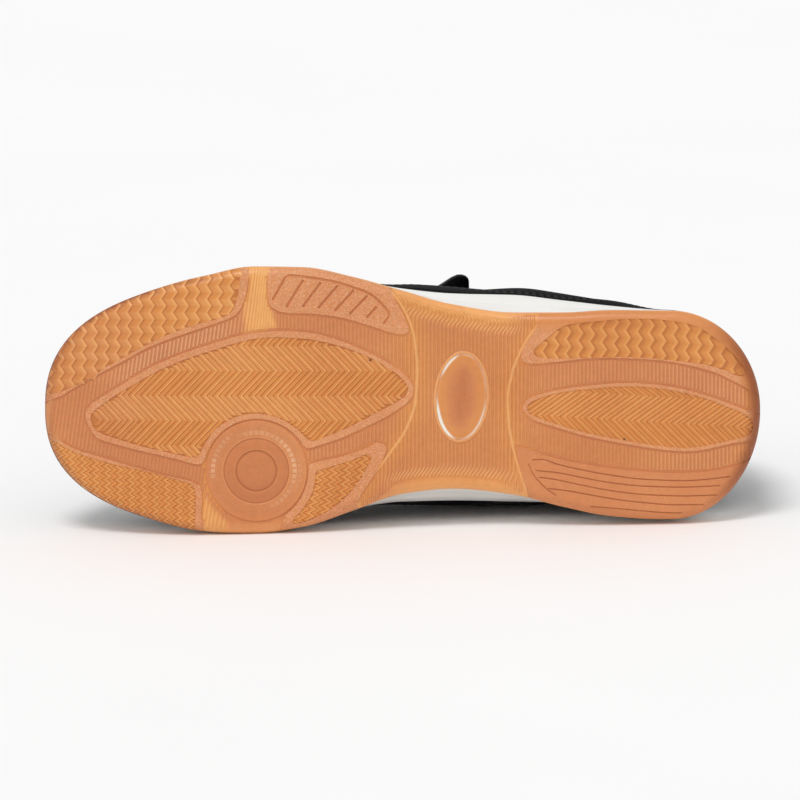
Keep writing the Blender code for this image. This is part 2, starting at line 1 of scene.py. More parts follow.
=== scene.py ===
"""Looks of a left indoor court shoe that lies on its medial side, sole towards the camera.

Sizes are in millimetres in the shoe's own frame: x runs from the heel to the toe, y to the lateral side and
z up from the ground that the shoe would stand on. world() lays points down on the floor with the CAD frame.
"""

import math
from collections import namedtuple

import bpy
import numpy as np
from mathutils import Matrix, Vector
from mathutils.geometry import delaunay_2d_cdt

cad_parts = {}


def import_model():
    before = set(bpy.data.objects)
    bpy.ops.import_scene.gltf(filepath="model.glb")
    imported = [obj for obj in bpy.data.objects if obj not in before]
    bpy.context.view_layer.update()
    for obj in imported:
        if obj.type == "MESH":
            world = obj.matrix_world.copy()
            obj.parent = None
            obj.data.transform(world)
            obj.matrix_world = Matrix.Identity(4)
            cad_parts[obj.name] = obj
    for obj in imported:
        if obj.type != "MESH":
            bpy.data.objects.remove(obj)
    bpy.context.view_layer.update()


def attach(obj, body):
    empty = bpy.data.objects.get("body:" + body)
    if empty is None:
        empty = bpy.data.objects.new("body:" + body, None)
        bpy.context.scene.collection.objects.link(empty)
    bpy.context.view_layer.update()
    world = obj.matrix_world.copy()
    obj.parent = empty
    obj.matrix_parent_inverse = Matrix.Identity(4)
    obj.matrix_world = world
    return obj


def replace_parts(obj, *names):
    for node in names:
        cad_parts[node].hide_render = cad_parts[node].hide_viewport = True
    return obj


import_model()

MM = 0.001
LATERAL, MEDIAL = 1, -1

# How the shoe lies: the floor's direction seen from the shoe, and where the shoe's own origin comes to
DOWN = np.array((-0.0238641, -0.9923887, 0.1208104))
ORIGIN = np.array((0.1449871, -0.0539155, 0.0452503))

# Driving dimensions, as in the CAD
SHOE_LENGTH = 290.0
TREAD_DEPTH = 0.46
RUBBER_THICKNESS, RUBBER_EDGE = 4.6, 4.6
RIM_WIDTH, RIM_DEPTH = 3.0, 1.2
GAP = 0.3
MIDSOLE_ENDS = (2.0, 287.5)
UPPER_ENDS, UPPER_LEDGE = (4.5, 284.5), 1.6
WALL, COLLAR_PAD, RIM_CROWN = 2.4, 3.0, 0.34
OVERLAY_STEP = 0.8
INSOLE_THICKNESS, INSOLE_CLEARANCE, HEEL_CUP = 4.0, 0.9, 2.5
TONGUE_THICKNESS, TONGUE_ARCH, THROAT_FRONT, CROWN_MOST = 4.5, 8.0, 190.0, 9.0
STRAP_THICKNESS, STRAP_CLEARANCE, TAIL_ROUND = 2.2, 0.45, 0.05
HEEL_REACH, HEEL_POWER = 36.0, 2.0
TOE_REACH, TOE_POWER = 80.0, 2.4

# Half widths before the ends are rounded
Width = namedtuple("Width", "x lateral medial")
OUTSOLE_WIDTHS = (
    Width(0, 40.0, 43.5),
    Width(40, 40.5, 44.3),
    Width(60, 40.7, 43.1),
    Width(80, 39.7, 39.2),
    Width(100, 39.6, 34.4),
    Width(125, 43.0, 32.0),
    Width(145, 48.6, 34.0),
    Width(165, 54.2, 40.8),
    Width(185, 58.1, 47.4),
    Width(205, 58.4, 50.0),
    Width(225, 55.0, 49.6),
    Width(255, 51.2, 47.2),
    Width(290, 49.6, 46.8),
)
MIDSOLE_WIDTHS = (
    Width(0, 38.2, 41.5),
    Width(40, 39.2, 42.2),
    Width(60, 41.0, 41.4),
    Width(80, 43.6, 39.6),
    Width(100, 46.0, 39.4),
    Width(125, 46.6, 39.0),
    Width(145, 48.4, 39.2),
    Width(165, 52.0, 41.6),
    Width(185, 54.6, 45.2),
    Width(205, 55.2, 47.2),
    Width(225, 52.6, 47.0),
    Width(255, 48.8, 44.8),
    Width(290, 47.4, 44.4),
)

# Side profile: the tread's plane, the top of the rubber wall, and the edge where the upper meets the midsole
Profile = namedtuple("Profile", "x ground rubber feather")
PROFILE = (
    Profile(0, 1.0, 10.0, 27.0),
    Profile(14, 0.0, 8.0, 26.5),
    Profile(75, 0.0, 7.0, 24.5),
    Profile(112, 1.6, 7.2, 22.5),
    Profile(150, 0.0, 7.0, 20.0),
    Profile(214, 0.0, 7.5, 18.5),
    Profile(240, 1.4, 10.0, 19.2),
    Profile(266, 4.6, 14.5, 21.5),
    Profile(290, 9.5, 20.5, 25.5),
)

# Sections of the upper, one for each place along its lower edge. The top edge lies at x + shift and half
# width top_y. The rise and flare shape the wall's foot, and the reach and droop shape its upper part.
Section = namedtuple("Section", "x shift top_y top_z rise flare_lateral flare_medial reach droop")
SECTIONS = (
    Section(0, 5.0, 27.0, 88.0, 22, 16, 16, 22, 78),
    Section(14, 4.5, 28.0, 86.5, 21, 14, 13, 21, 80),
    Section(38, 1.5, 30.0, 78.5, 20, 3, 10, 19, 80),
    Section(64, 0.0, 31.0, 71.5, 21, 19, 13, 18, 72),
    Section(90, 0.0, 30.5, 77.0, 23, 21, 22, 22, 63),
    Section(114, -1.0, 25.5, 92.0, 24, 13, 25, 28, 58),
    Section(140, -4.0, 20.0, 85.5, 24, 9, 22, 26, 42),
    Section(168, -8.0, 17.0, 76.5, 23, 1, 10, 26, 30),
    Section(198, -18.0, 13.5, 69.0, 23, -2, 2, 28, 21),
    Section(232, -39.0, 10.0, 64.0, 23, -5, -3, 37, 15),
    Section(262, -63.0, 7.5, 62.0, 25, -7, -6, 48, 10),
    Section(290, -85.5, 6.5, 61.5, 26, -10, -10, 58, 7),
)

# How far up the wall the raised toe, foxing and heel overlay reaches, as a share of the wall
Overlay = namedtuple("Overlay", "x share")
OVERLAY = (
    Overlay(0, 0.54),
    Overlay(30, 0.48),
    Overlay(46, 0.32),
    Overlay(64, 0.17),
    Overlay(86, 0.09),
    Overlay(104, 0.10),
    Overlay(124, 0.20),
    Overlay(160, 0.20),
    Overlay(205, 0.24),
    Overlay(240, 0.33),
    Overlay(290, 0.42),
)

# The tongue from under the vamp to the throat's corners, sunk below the throat's edges, and its free end
Tongue = namedtuple("Tongue", "x half_width sink")
TONGUE = (
    Tongue(210, 13.0, 10.4),
    Tongue(199, 17.0, 6.8),
    Tongue(190, 20.0, 3.0),
    Tongue(180, 21.5, 1.5),
    Tongue(165, 23.0, 0.8),
    Tongue(148, 24.5, 0.7),
    Tongue(132, 25.0, 0.7),
    Tongue(118, 23.0, 0.0),
)
TongueTip = namedtuple("TongueTip", "x half_width z")
TONGUE_TIP = (
    TongueTip(109.0, 20.5, 104.0),
    TongueTip(104.0, 20.0, 110.5),
    TongueTip(100.5, 16.0, 114.0),
)

# Hook-and-loop straps: the stretch of the upper's lower edge that each one stands over, how far up the
# medial and lateral walls its ends lie, and how far its rear tail corner stands off the upper
Strap = namedtuple("Strap", "name rear front medial_end lateral_end tail_lift")
STRAPS = (
    Strap("strap_rear", 117.4, 143.4, 0.66, 0.40, 6.0),
    Strap("strap_front", 152.0, 178.0, 0.66, 0.42, 0.0),
)

# The tread rolls up towards the sole's edge
EDGE_REACH, EDGE_RISE, EDGE_POWER, EDGE_MARGIN = 5.0, 3.2, 3.3, 0.05

# Raised tread panels in plan. Points past the sole's edge only carry the panel out to the edge.
PIVOT_CENTRE, PIVOT_RADIUS, PIVOT_GROOVE = (204.0, -24.2), 20.6, 0.5
OVAL_CENTRE, OVAL_HALF_SIZE, OVAL_TILT = (121.0, 5.7), (10.2, 17.6), 4.0
PANELS = {
    "toe_lateral": (
        (214, 74), (207.5, 60), (208, 48), (211.5, 40), (218, 36.5), (234, 31), (247, 26), (257, 20.5),
        (269, 14), (278.5, 8.5), (284.5, 5), (294, 5), (298, 40), (250, 74),
    ),
    "forefoot_leaf": (
        (273.2, -3), (271.8, 1.5), (267.3, 5), (259, 10.2), (247, 17.6), (234, 23.3), (218.5, 28.5),
        (207, 31.5), (196, 32.5), (183.5, 32), (172.5, 29.5), (161, 25), (149.5, 19), (143, 14), (140.5, 9),
        (142, 4.5), (149.5, -1), (159, -6), (169.5, -10.8), (178, -13.6), (183.6, -15), (186.5, -11.5),
        (190.5, -7.6), (196.5, -4.4), (204, -3), (212, -4.6), (219, -9.3), (223.4, -15.6), (225.4, -20.4),
        (228.5, -21.6), (238.3, -19.1), (250.7, -16.4), (263.2, -13.2), (269.4, -10.6),
    ),
    "toe_medial": (
        (296, -9), (277.5, -16), (265.5, -19.5), (253, -23), (240, -26.5), (232.5, -28), (227, -30.5),
        (226, -36), (226.5, -42), (227, -58), (262, -58), (298, -36),
    ),
    "lateral_pad": (
        (190, 74), (198.5, 58), (199, 45), (196.5, 41.5), (192, 40), (180.5, 39.5), (169.5, 38), (159, 35),
        (148, 31.5), (143.5, 31.5), (142.5, 34), (145.5, 41), (149.5, 48.5), (156, 64), (168, 74),
    ),
    "medial_wedge": (
        (181.6, -21.2), (169.3, -18.3), (159, -14.6), (155.4, -12.6), (151.8, -14), (152, -18),
        (156.8, -26.6), (162.5, -36), (167, -54), (194, -58), (193, -44), (188.6, -38.8), (185.2, -33.6),
        (183.4, -28.5), (182.9, -23.5),
    ),
    "heel_lateral": (
        (86, 44), (91, 33.5), (96.5, 24.5), (95, 19.5), (83, 20), (69, 21.5), (54.5, 21.5), (39.5, 20.5),
        (28.5, 18.5), (18, 15.5), (8.5, 11), (-6, 5), (-8, 34), (20, 54), (60, 56),
    ),
    "heel_leaf": (
        (96, 0.5), (94, 5), (83, 8.5), (69, 10.5), (54.5, 11.5), (39.5, 10.5), (25.5, 7.5), (11, 2.5),
        (-6, -5), (-6, -10), (11, -13), (25.5, -16), (36, -16), (50.5, -14), (69, -10.5), (83, -6.5),
        (92, -3.5),
    ),
    "heel_medial": (
        (98.5, -15), (87, -18), (76.5, -20.5), (61.5, -23), (47, -24.5), (32.5, -25), (18, -24), (7, -21),
        (-6, -17), (-4, -44), (30, -60), (70, -58), (88, -50), (94.5, -33),
    ),
}
CURVE_STEPS = 4

# Ridged fields inside the panels, and how their ridges run
FIELDS = {
    "toe_lateral": (
        (288, 6), (274, 11.4), (263.7, 18.3), (252.8, 24.4), (241.8, 30.1), (230, 34.6), (218.6, 37.8),
        (213.5, 41), (211.5, 47), (210.6, 57), (212, 72), (250, 72), (297, 40), (297, 8),
    ),
    "toe_medial": (
        (287, -13), (276.8, -17.6), (263.6, -21.5), (248, -24.8), (234.5, -28.4), (229.5, -30.6),
        (228.6, -37), (229, -47), (229, -58), (262, -58), (298, -36), (296, -13),
    ),
    "heel_lateral": (
        (91.7, 24.4), (86.8, 29.3), (79.5, 34.6), (69, 36.2), (54.3, 37.4), (39.6, 37), (26.6, 34.6),
        (18.1, 29.3), (10.8, 22.8), (6.3, 16.3), (8.7, 14.2), (18.1, 17.9), (32.3, 20.3), (54.3, 22),
        (72.6, 21.6), (88.5, 21.6),
    ),
    "forefoot_leaf": (
        (271.2, -3.1), (270, -0.6), (266, 2.6), (260.4, 6.6), (254.6, 10), (245, 15.6), (235.3, 20),
        (227, 23), (219, 25.6), (206.8, 29), (194.6, 30), (178.3, 28.5), (162.1, 23.6), (149.9, 17.1),
        (143.8, 11.8), (142.8, 8), (145.8, 4.6), (153.9, 0.2), (165.3, -5.9), (174.3, -9.6), (182, -12),
        (187.3, -7.4), (194.6, -2.9), (204, -0.9), (213, -2.6), (220.5, -7.4), (225.2, -14), (227.4, -18),
        (230, -18.8), (239.1, -17), (250.7, -14.4), (261.1, -11.4), (267.4, -9.2), (270.4, -6.2),
    ),
    "medial_wedge": (
        (180, -24.8), (177.6, -23.6), (171, -21.6), (162.8, -18.8), (160.5, -17.8), (158.2, -17.8),
        (157.6, -19.4), (160.7, -25.6), (164.6, -31.3), (170.5, -37.3), (177, -41.7), (184.6, -45),
        (188.2, -45.8), (189.4, -44.6), (186.3, -40.8), (182.4, -35.2), (180.4, -29.2),
    ),
    "heel_leaf": (
        (94.3, 0.3), (92.8, 3.6), (83, 7.2), (69, 9.1), (54.5, 10.1), (39.5, 9.1), (25.5, 6.1), (13, 1.6),
        (6, -1.6), (3.4, -4.4), (3.2, -7.6), (5.6, -10.2), (11, -11.5), (25.5, -14.5), (36, -14.6),
        (50.5, -12.6), (69, -9.1), (83, -5.1), (91.3, -2.2),
    ),
}

# Paint of the tread: shade, which is painted shade in grooves, recesses and at the foot of walls and a
# painted highlight on crests and lips, share of rose, stipple, and pale cream for painted highlights and
# paler rubber or, below 0, brown and black for dirt, soot and painted shade
GROOVE_GOLD, GROOVE_ROSE, CHANNEL_ROSE = (0.0, 0.0, 0.0, 0.0), (0.0, 1.0, 0.0, 0.0), (0.42, 1.0, 0.1, 0.0)
RIM_ROSE, BAND_ROSE, SMOOTH_ROSE = (0.62, 1.0, 0.9, 0.0), (0.48, 1.0, 0.22, 0.0), (0.5, 1.0, 0.1, 0.0)
DOME_GOLD = (0.5, 0.4, 0.1, 0.0)
# Shaded seam rose paints shade at the foot of walls and in thin grooves, lip rose a highlight on a groove's
# lip, shaded rose deeper shade in grooves, and wall gold shade on the walls of the panels round the fields
SHADED_SEAM_ROSE, DISC_ROSE, EDGE_PEACH = (0.3, 1.0, 0.0, 0.0), (0.2, 1.0, 0.05, 0.0), (0.85, 0.6, 0.3, 0.0)
LIP_ROSE, SHADED_ROSE, WALL_GOLD = (0.85, 1.0, 0.2, 0.0), (0.0, 1.0, 0.0, -0.2), (0.15, 0.3, 0.0, 0.0)


# Curves and tables

def curve(rows, column):
    """A table's column as a function of x, on a smooth cubic through its rows."""
    xs = np.array([row.x for row in rows], float)
    ys = np.array([getattr(row, column) for row in rows], float)
    secants = np.diff(ys) / np.diff(xs)
    before, after = secants[:-1], secants[1:]
    same_way = before * after > 0
    middle = np.where(same_way, 2 * before * after / np.where(same_way, before + after, 1.0), 0.0)
    slopes = np.concatenate((secants[:1], middle, secants[-1:]))

    def at(x):
        x = np.clip(x, xs[0], xs[-1])
        i = np.clip(np.searchsorted(xs, x, side="right") - 1, 0, len(xs) - 2)
        step = xs[i + 1] - xs[i]
        t = (x - xs[i]) / step
        return (
            ys[i] * (1 + 2 * t) * (1 - t) ** 2
            + ys[i + 1] * t * t * (3 - 2 * t)
            + slopes[i] * step * t * (1 - t) ** 2
            - slopes[i + 1] * step * t * t * (1 - t)
        )

    return at


ground, rubber, feather = (curve(PROFILE, column) for column in ("ground", "rubber", "feather"))


def tray_floor(x):
    """Inside of the outsole's tray, under the midsole."""
    return np.minimum(ground(x) + RUBBER_THICKNESS, rubber(x) - RIM_DEPTH)


def ease(value, low, high):
    """0 below low, 1 above high, and smooth between them."""
    t = np.clip((value - low) / (high - low), 0.0, 1.0)
    return t * t * (3 - 2 * t)


def fade(value, low, high):
    """1 below low, 0 above high, and smooth between them."""
    return 1 - ease(value, low, high)


def window(value, low, full, fading, gone):
    """0 below low, 1 from full to fading, and 0 above gone."""
    return ease(value, low, full) * fade(value, fading, gone)


def unit(vectors):
    """The vectors at a length of 1."""
    return vectors / np.linalg.norm(vectors, axis=-1, keepdims=True)


def end_shape(distance, reach, power):
    """Share of the full width at a distance from a rounded end."""
    short = np.clip((reach - distance) / reach, 0.0, 1.0)
    return (1 - short ** power) ** (1 / power)


def ends(x, start, end):
    return end_shape(x - start, HEEL_REACH, HEEL_POWER) * end_shape(end - x, TOE_REACH, TOE_POWER)


def half_width(widths, x, side, start, end):
    wide = np.where(side > 0, curve(widths, "lateral")(x), curve(widths, "medial")(x))
    return wide * ends(x, start, end)


def place_at(angle, start, end):
    """Place along the foot, and the side, at an angle round a loop: 0 at the heel and pi at the toe."""
    return start + (end - start) * (1 - np.cos(angle)) / 2, np.where(np.sin(angle) >= 0, LATERAL, MEDIAL)


def loop_angles(half):
    return np.pi * np.arange(2 * half) / half


def outline(widths, start, end, half):
    """A closed plan loop from the heel along the lateral side to the toe and back."""
    x, side = place_at(loop_angles(half), start, end)
    return np.stack((x, side * half_width(widths, x, side, start, end)), axis=1)


def closed_curve(points, steps=CURVE_STEPS):
    """A smooth closed curve through the points."""
    b = np.array(points, float)
    a, c, d = np.roll(b, 1, axis=0), np.roll(b, -1, axis=0), np.roll(b, -2, axis=0)
    rows = []
    for t in np.arange(steps) / steps:
        rows.append(
            b + (c - a) * (t / 2) + (2 * a - 5 * b + 4 * c - d) * (t * t / 2)
            + (3 * b - a - 3 * c + d) * (t ** 3 / 2)
        )
    return np.stack(rows, axis=1).reshape(-1, 2)


def normals(loop, closed=True):
    """Unit vectors to the right of a plan line's way."""
    if closed:
        along = np.roll(loop, -1, axis=0) - np.roll(loop, 1, axis=0)
    else:
        along = np.gradient(loop, axis=0)
    along = unit(along)
    return np.stack((along[:, 1], -along[:, 0]), axis=1)


def inset(loop, distance):
    """A closed plan loop moved inwards by a distance, whichever way round it runs."""
    following = np.roll(loop, -1, axis=0)
    area = np.sum(loop[:, 0] * following[:, 1] - following[:, 0] * loop[:, 1])
    return loop - normals(loop) * distance * np.sign(area)


def batches(points, size=4000):
    return np.array_split(points, max(1, math.ceil(len(points) / size)))


def inside(points, loop):
    """Whether each plan point lies inside a closed loop."""
    a, b = loop, np.roll(loop, -1, axis=0)
    rise = np.where(b[:, 1] == a[:, 1], 1e-9, b[:, 1] - a[:, 1])
    found = []
    for batch in batches(points):
        x, y = batch[:, :1], batch[:, 1:]
        crosses = (a[:, 1] > y) != (b[:, 1] > y)
        at = a[:, 0] + (y - a[:, 1]) * (b[:, 0] - a[:, 0]) / rise
        found.append(np.count_nonzero(crosses & (x < at), axis=1) % 2 == 1)
    return np.concatenate(found)


def nearest(points, loop):
    """Distance of each plan point from a closed loop, negative outside it, and the loop's nearest point."""
    a = loop
    along = np.roll(loop, -1, axis=0) - a
    length = np.maximum(np.sum(along * along, axis=1), 1e-9)
    distances, places = [], []
    for batch in batches(points):
        off = batch[:, None, :] - a
        share = np.clip(np.sum(off * along, axis=2) / length, 0.0, 1.0)
        gap = off - share[..., None] * along
        square = np.sum(gap * gap, axis=2)
        best = np.argmin(square, axis=1)
        row = np.arange(len(batch))
        distances.append(np.sqrt(square[row, best]))
        places.append(batch - gap[row, best])
    signs = np.where(inside(points, loop), 1.0, -1.0)
    return np.concatenate(distances) * signs, np.concatenate(places)


def distance_to(points, loop):
    return nearest(points, loop)[0]


# The shoe on the floor

TOE = np.array((1.0, 0.0, 0.0)) - DOWN * DOWN[0]
TOE = TOE / np.linalg.norm(TOE)
TURN = np.stack((-TOE, np.cross(DOWN, TOE), -DOWN))


def world(points):
    """Points of the shoe's own frame, in metres on the floor."""
    return np.asarray(points, float) @ TURN.T * MM + ORIGIN


# Meshes

def add_object(name, data):
    """A new object in the scene."""
    made = bpy.data.objects.new(name, data)
    bpy.context.scene.collection.objects.link(made)
    return made


class Shell:
    """Points, faces and paint of one mesh, gathered part by part."""

    def __init__(self):
        self.points = []
        self.faces = []
        self.slots = []
        self.paint = []
        self.count = 0

    def add(self, points, faces, paint, slots=0):
        points = np.asarray(points, float).reshape(-1, 3)
        self.points.append(points)
        self.faces += [tuple(int(i) + self.count for i in face) for face in faces]
        self.slots += list(np.broadcast_to(slots, len(faces)))
        self.paint.append(np.array(np.broadcast_to(paint, (len(points), 4)), float))
        self.count += len(points)

    def make(self, name, slot, *finishes, sharp_angle=38):
        """The mesh as a piece that rides on the shoe. The slot is not used."""
        mesh = bpy.data.meshes.new(name)
        mesh.from_pydata(world(np.concatenate(self.points)), [], self.faces)
        layer = mesh.attributes.new("paint", "FLOAT_COLOR", "POINT")
        layer.data.foreach_set("color", np.concatenate(self.paint).astype(np.float32).ravel())
        for finish in finishes:
            mesh.materials.append(finish)
        mesh.polygons.foreach_set("material_index", np.array(self.slots, np.int32))
        mesh.shade_smooth()
        mesh.set_sharp_from_angle(angle=math.radians(sharp_angle))
        piece = add_object(name, mesh)
        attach(piece, "root")
        return piece


def grid_faces(rows, columns, wrap=False):
    """Quads of a grid of points, wrapped round its columns where asked."""
    faces = []
    for i in range(rows - 1):
        for j in range(columns if wrap else columns - 1):
            n = (j + 1) % columns
            faces.append((i * columns + j, i * columns + n, (i + 1) * columns + n, (i + 1) * columns + j))
    return faces


def fill_across(faces, first, count):
    """Strips across a closed loop that runs down one side of the shoe and up the other."""
    for k in range(count // 2):
        corners = (first + k, first + k + 1, first + (count - k - 1) % count, first + (count - k) % count)
        faces.append(tuple(sorted(set(corners), key=corners.index)))


def closed_form(loops):
    """Faces of a form through loops round the shoe, filled across the first and the last one."""
    count = len(loops[0])
    faces = grid_faces(len(loops), count, wrap=True)
    for first in (0, (len(loops) - 1) * count):
        fill_across(faces, first, count)
    return faces


def band_faces(rows, columns):
    """Faces of a band whose rows run across its face and back across its underside, closed at both ends."""
    faces = grid_faces(rows, columns, wrap=True)
    for first in (0, (rows - 1) * columns):
        for k in range(columns // 2 - 1):
            faces.append((first + k, first + k + 1, first + columns - k - 2, first + columns - k - 1))
    return faces


def lifted(plan, height):
    """A plan loop at a height that depends on the place along the foot."""
    return np.column_stack((plan, height(plan[:, 0])))


def facing_ground(points, faces):
    """The faces turned so that, taken together, they look down at the ground."""
    turned = sum(
        np.cross(points[f[1]] - points[f[0]], points[f[-1]] - points[f[0]])[2] for f in faces
    )
    return [face[::-1] for face in faces] if turned > 0 else faces


# The tread

HALF_LOOP = 220
SOLE = outline(OUTSOLE_WIDTHS, 0, SHOE_LENGTH, HALF_LOOP)
EDGE_STEPS = (5.0, 3.6, 2.4, 1.5, 0.8)
EDGE_RINGS = [inset(SOLE, step) for step in EDGE_STEPS]
PANEL_LIMIT, RIDGE_LIMIT = inset(SOLE, 0.35), inset(SOLE, -1.2)


def on_tread(plan, recess):
    """Plan points raised to the tread, a recess above its wear face, and rolled up at the sole's edge.

    Points past the edge come back to it."""
    plan = np.array(plan, float)
    distance, edge = nearest(plan, SOLE)
    past = distance < EDGE_MARGIN
    inwards = (plan - edge) / np.where(distance == 0, 1.0, distance)[:, None]
    plan[past] = edge[past] + EDGE_MARGIN * inwards[past]
    rolled = np.clip(1 - np.maximum(distance, EDGE_MARGIN) / EDGE_REACH, 0.0, 1.0)
    height = ground(plan[:, 0]) + recess + EDGE_RISE * rolled ** EDGE_POWER
    return np.column_stack((plan, height))


# Gold rubber: how it comes in at the bands' borders, along the waist, in from its edges and beside its arcs
GOLD_BORDER, GOLD_WAIST, GOLD_EDGE = (-1.5, 1.0), (92, 106, 138, 154), (4.0, 10.0)
GOLD_ARC, GOLD_ARC_SHARE, GOLD_ARC_STEPS = (1.0, 8.0), 0.75, 40


def band_gold(plan):
    """Share of gold rubber in the two bands beside the forefoot's panels."""
    bands = [closed_curve(band, 1) for band in GOLD_BANDS]
    return np.max([ease(distance_to(plan, band), *GOLD_BORDER) for band in bands], axis=0)


def gold_at(plan):
    """Share of gold rubber outside the ridged fields: at the waist's edges and arcs, and in two bands."""
    edges = window(plan[:, 0], *GOLD_WAIST) * fade(distance_to(plan, SOLE), *GOLD_EDGE)
    shares = [edges, band_gold(plan)]
    for arc in WAIST_ARCS:
        line = open_curve(arc, GOLD_ARC_STEPS)
        away = np.abs(distance_to(plan, np.concatenate((line, line[::-1]))))
        shares.append(GOLD_ARC_SHARE * fade(away, *GOLD_ARC))
    return np.max(shares, axis=0)


# Wear and painted light of the tread: its strength, and its ranges along the foot, in from the edge and up
# the side wall
# Painted shade: the heel's rolled edge, turned away from the light, and the toe's tip are browner
HEEL_BROWN_X, HEEL_BROWN_EDGE = (3, 26), (1.5, 6.5)
TIP_BROWN, TIP_BROWN_X, TIP_BROWN_EDGE = 0.4, (270, 284), (1.0, 5.0)
# Round the toe: grooves browner for dirt and for painted shade of the notches, crests greyer as a painted
# highlight
TOE_X, TOE_BROWN_EDGE = (208, 232), (0.8, 2.6)
TOE_BROWN, TOE_BROWN_LOSS, TOE_BROWN_SHADE = 0.7, 0.75, 0.9
TOE_GREY, TOE_GREY_EDGE, TOE_GREY_ROSE = 0.15, (0.2, 1.4), 0.5
# Soot and painted shade on the toe's outer edge, where it is seen at a grazing angle
SOOT_AND_SHADE, SOOT_AND_SHADE_LOSS, SOOT_AND_SHADE_X, SOOT_AND_SHADE_EDGE, SOOT_AND_SHADE_HEIGHT = 1.9, 0.5, (224, 258), (0.1, 0.7), (3.4, 5.4)
RUBBED_X, RUBBED_EDGE = (88, 100), (4.0, 7.0)
RUBBED_SHADE, RUBBED_ROSE, RUBBED_STIPPLE = 0.2, 0.5, 0.85


def weather_and_shade(shell):
    """Paints wear and light on the tread: painted shade browns the edge of the heel and the toe's tip, and
    the lateral heel's edge is rubbed.

    Round the toe the grooves are browner, for dirt and painted shade of the notches, the outermost rim's
    crests are greyer as a painted highlight, and soot and painted shade darken its grooves."""
    for points, paint in zip(shell.points, shell.paint):
        plan = points[:, :2]
        x = plan[:, 0]
        shade, rose = paint[:, 0], paint[:, 1]
        distance = distance_to(plan, SOLE)
        height = points[:, 2] - ground(x)
        toe = ease(x, *TOE_X)
        # Painted shade on the heel's rolled edge and on the toe's tip
        heel = fade(x, *HEEL_BROWN_X) * fade(distance, *HEEL_BROWN_EDGE)
        tip = TIP_BROWN * ease(x, *TIP_BROWN_X) * fade(distance, *TIP_BROWN_EDGE)
        # Browner grooves by the toe's edge: dirt, and painted shade of its notches
        browned_and_shaded = TOE_BROWN - TOE_BROWN_LOSS * np.minimum(shade, TOE_BROWN_SHADE)
        browned_and_shaded = toe * browned_and_shaded * fade(distance, *TOE_BROWN_EDGE)
        # Painted highlight: greyer crests on the toe's outermost rim
        greyed = toe * TOE_GREY * shade * fade(distance, *TOE_GREY_EDGE) * (rose < TOE_GREY_ROSE)
        # Soot and painted shade at the toe's outer edge, darkest in the grooves
        sooted_and_shaded = SOOT_AND_SHADE * (1 - SOOT_AND_SHADE_LOSS * np.clip(shade, 0.0, 1.0)) * ease(x, *SOOT_AND_SHADE_X)
        sooted_and_shaded = sooted_and_shaded * fade(distance, *SOOT_AND_SHADE_EDGE) * fade(height, *SOOT_AND_SHADE_HEIGHT)
        paint[:, 3] += greyed - np.maximum.reduce((heel, tip, browned_and_shaded, sooted_and_shaded))
        rubbed = fade(distance, *RUBBED_EDGE) * fade(x, *RUBBED_X) * (plan[:, 1] > 0)
        paint[:, 2] *= 1 - RUBBED_STIPPLE * rubbed
        paint[:, 1] *= 1 - RUBBED_ROSE * rubbed
        paint[:, 0] -= RUBBED_SHADE * rubbed


# Points inside a panel: their spacing, and how far they keep off its loops
FILL_STEP, FILL_CLEARANCE = 3.0, 0.4


def filling(plan, loops):
    """Points to fill a panel: a lattice in its middle and rings along the sole's rolled edge."""
    steps = [np.arange(low, high, FILL_STEP) for low, high in zip(plan.min(axis=0), plan.max(axis=0))]
    lattice = np.stack(np.meshgrid(*steps), axis=-1).reshape(-1, 2)
    lattice = lattice[distance_to(lattice, SOLE) > EDGE_STEPS[0] + FILL_STEP / 2]
    points = np.concatenate((lattice, *EDGE_RINGS))
    points = points[inside(points, plan)]
    clear = [np.abs(distance_to(points, loop)) > FILL_CLEARANCE for loop in loops]
    return points[np.all(clear, axis=0)]


PANEL_FOOT = TREAD_DEPTH + 0.05


def plateau(shell, plan, holes=(), top=0.0, foot=PANEL_FOOT, paint=RIM_ROSE, wall_paint=SHADED_SEAM_ROSE):
    """A raised panel inside the sole's edge, with holes, and walls down to its foot if it has one."""
    loops = [plan, PANEL_LIMIT, *holes]
    corners = np.concatenate(loops)
    edges = []
    for loop in loops:
        first = len(edges)
        edges += [(first + k, first + (k + 1) % len(loop)) for k in range(len(loop))]
    flat = np.concatenate((corners, filling(plan, loops)))
    found = delaunay_2d_cdt([Vector(p) for p in flat], edges, [], 0, 1e-4)
    plane = np.array([tuple(v) for v in found[0]])

    def covered(points, skip=None):
        """Whether the panel covers the points, leaving out one loop that they lie on."""
        keep = np.ones(len(points), bool)
        for k, loop in enumerate(loops):
            if k != skip:
                keep &= inside(points, loop) == (k < 2)
        return keep

    triangles = np.array([tuple(face) for face in found[2]])
    triangles = triangles[covered(plane[triangles].mean(axis=1))]
    used = np.unique(triangles)
    renumber = np.zeros(len(plane), int)
    renumber[used] = np.arange(len(used))
    surface = on_tread(plane[used], top)
    faces = [tuple(face) for face in renumber[triangles]]
    shell.add(surface, facing_ground(surface, faces), paint)
    for k, loop in enumerate(loops):
        following = np.roll(loop, -1, axis=0)
        kept = np.flatnonzero(covered((loop + following) / 2, skip=k))
        if not len(kept) or foot is None:
            continue
        upper, lower = on_tread(loop, top), on_tread(loop, foot)
        count = len(loop)
        walls = [(i, (i + 1) % count, count + (i + 1) % count, count + i) for i in kept]
        # The walls run from the top's paint down to the wall paint, a painted shade at their foot
        shell.add(np.concatenate((upper, lower)), walls, np.repeat((paint, wall_paint), count, axis=0))


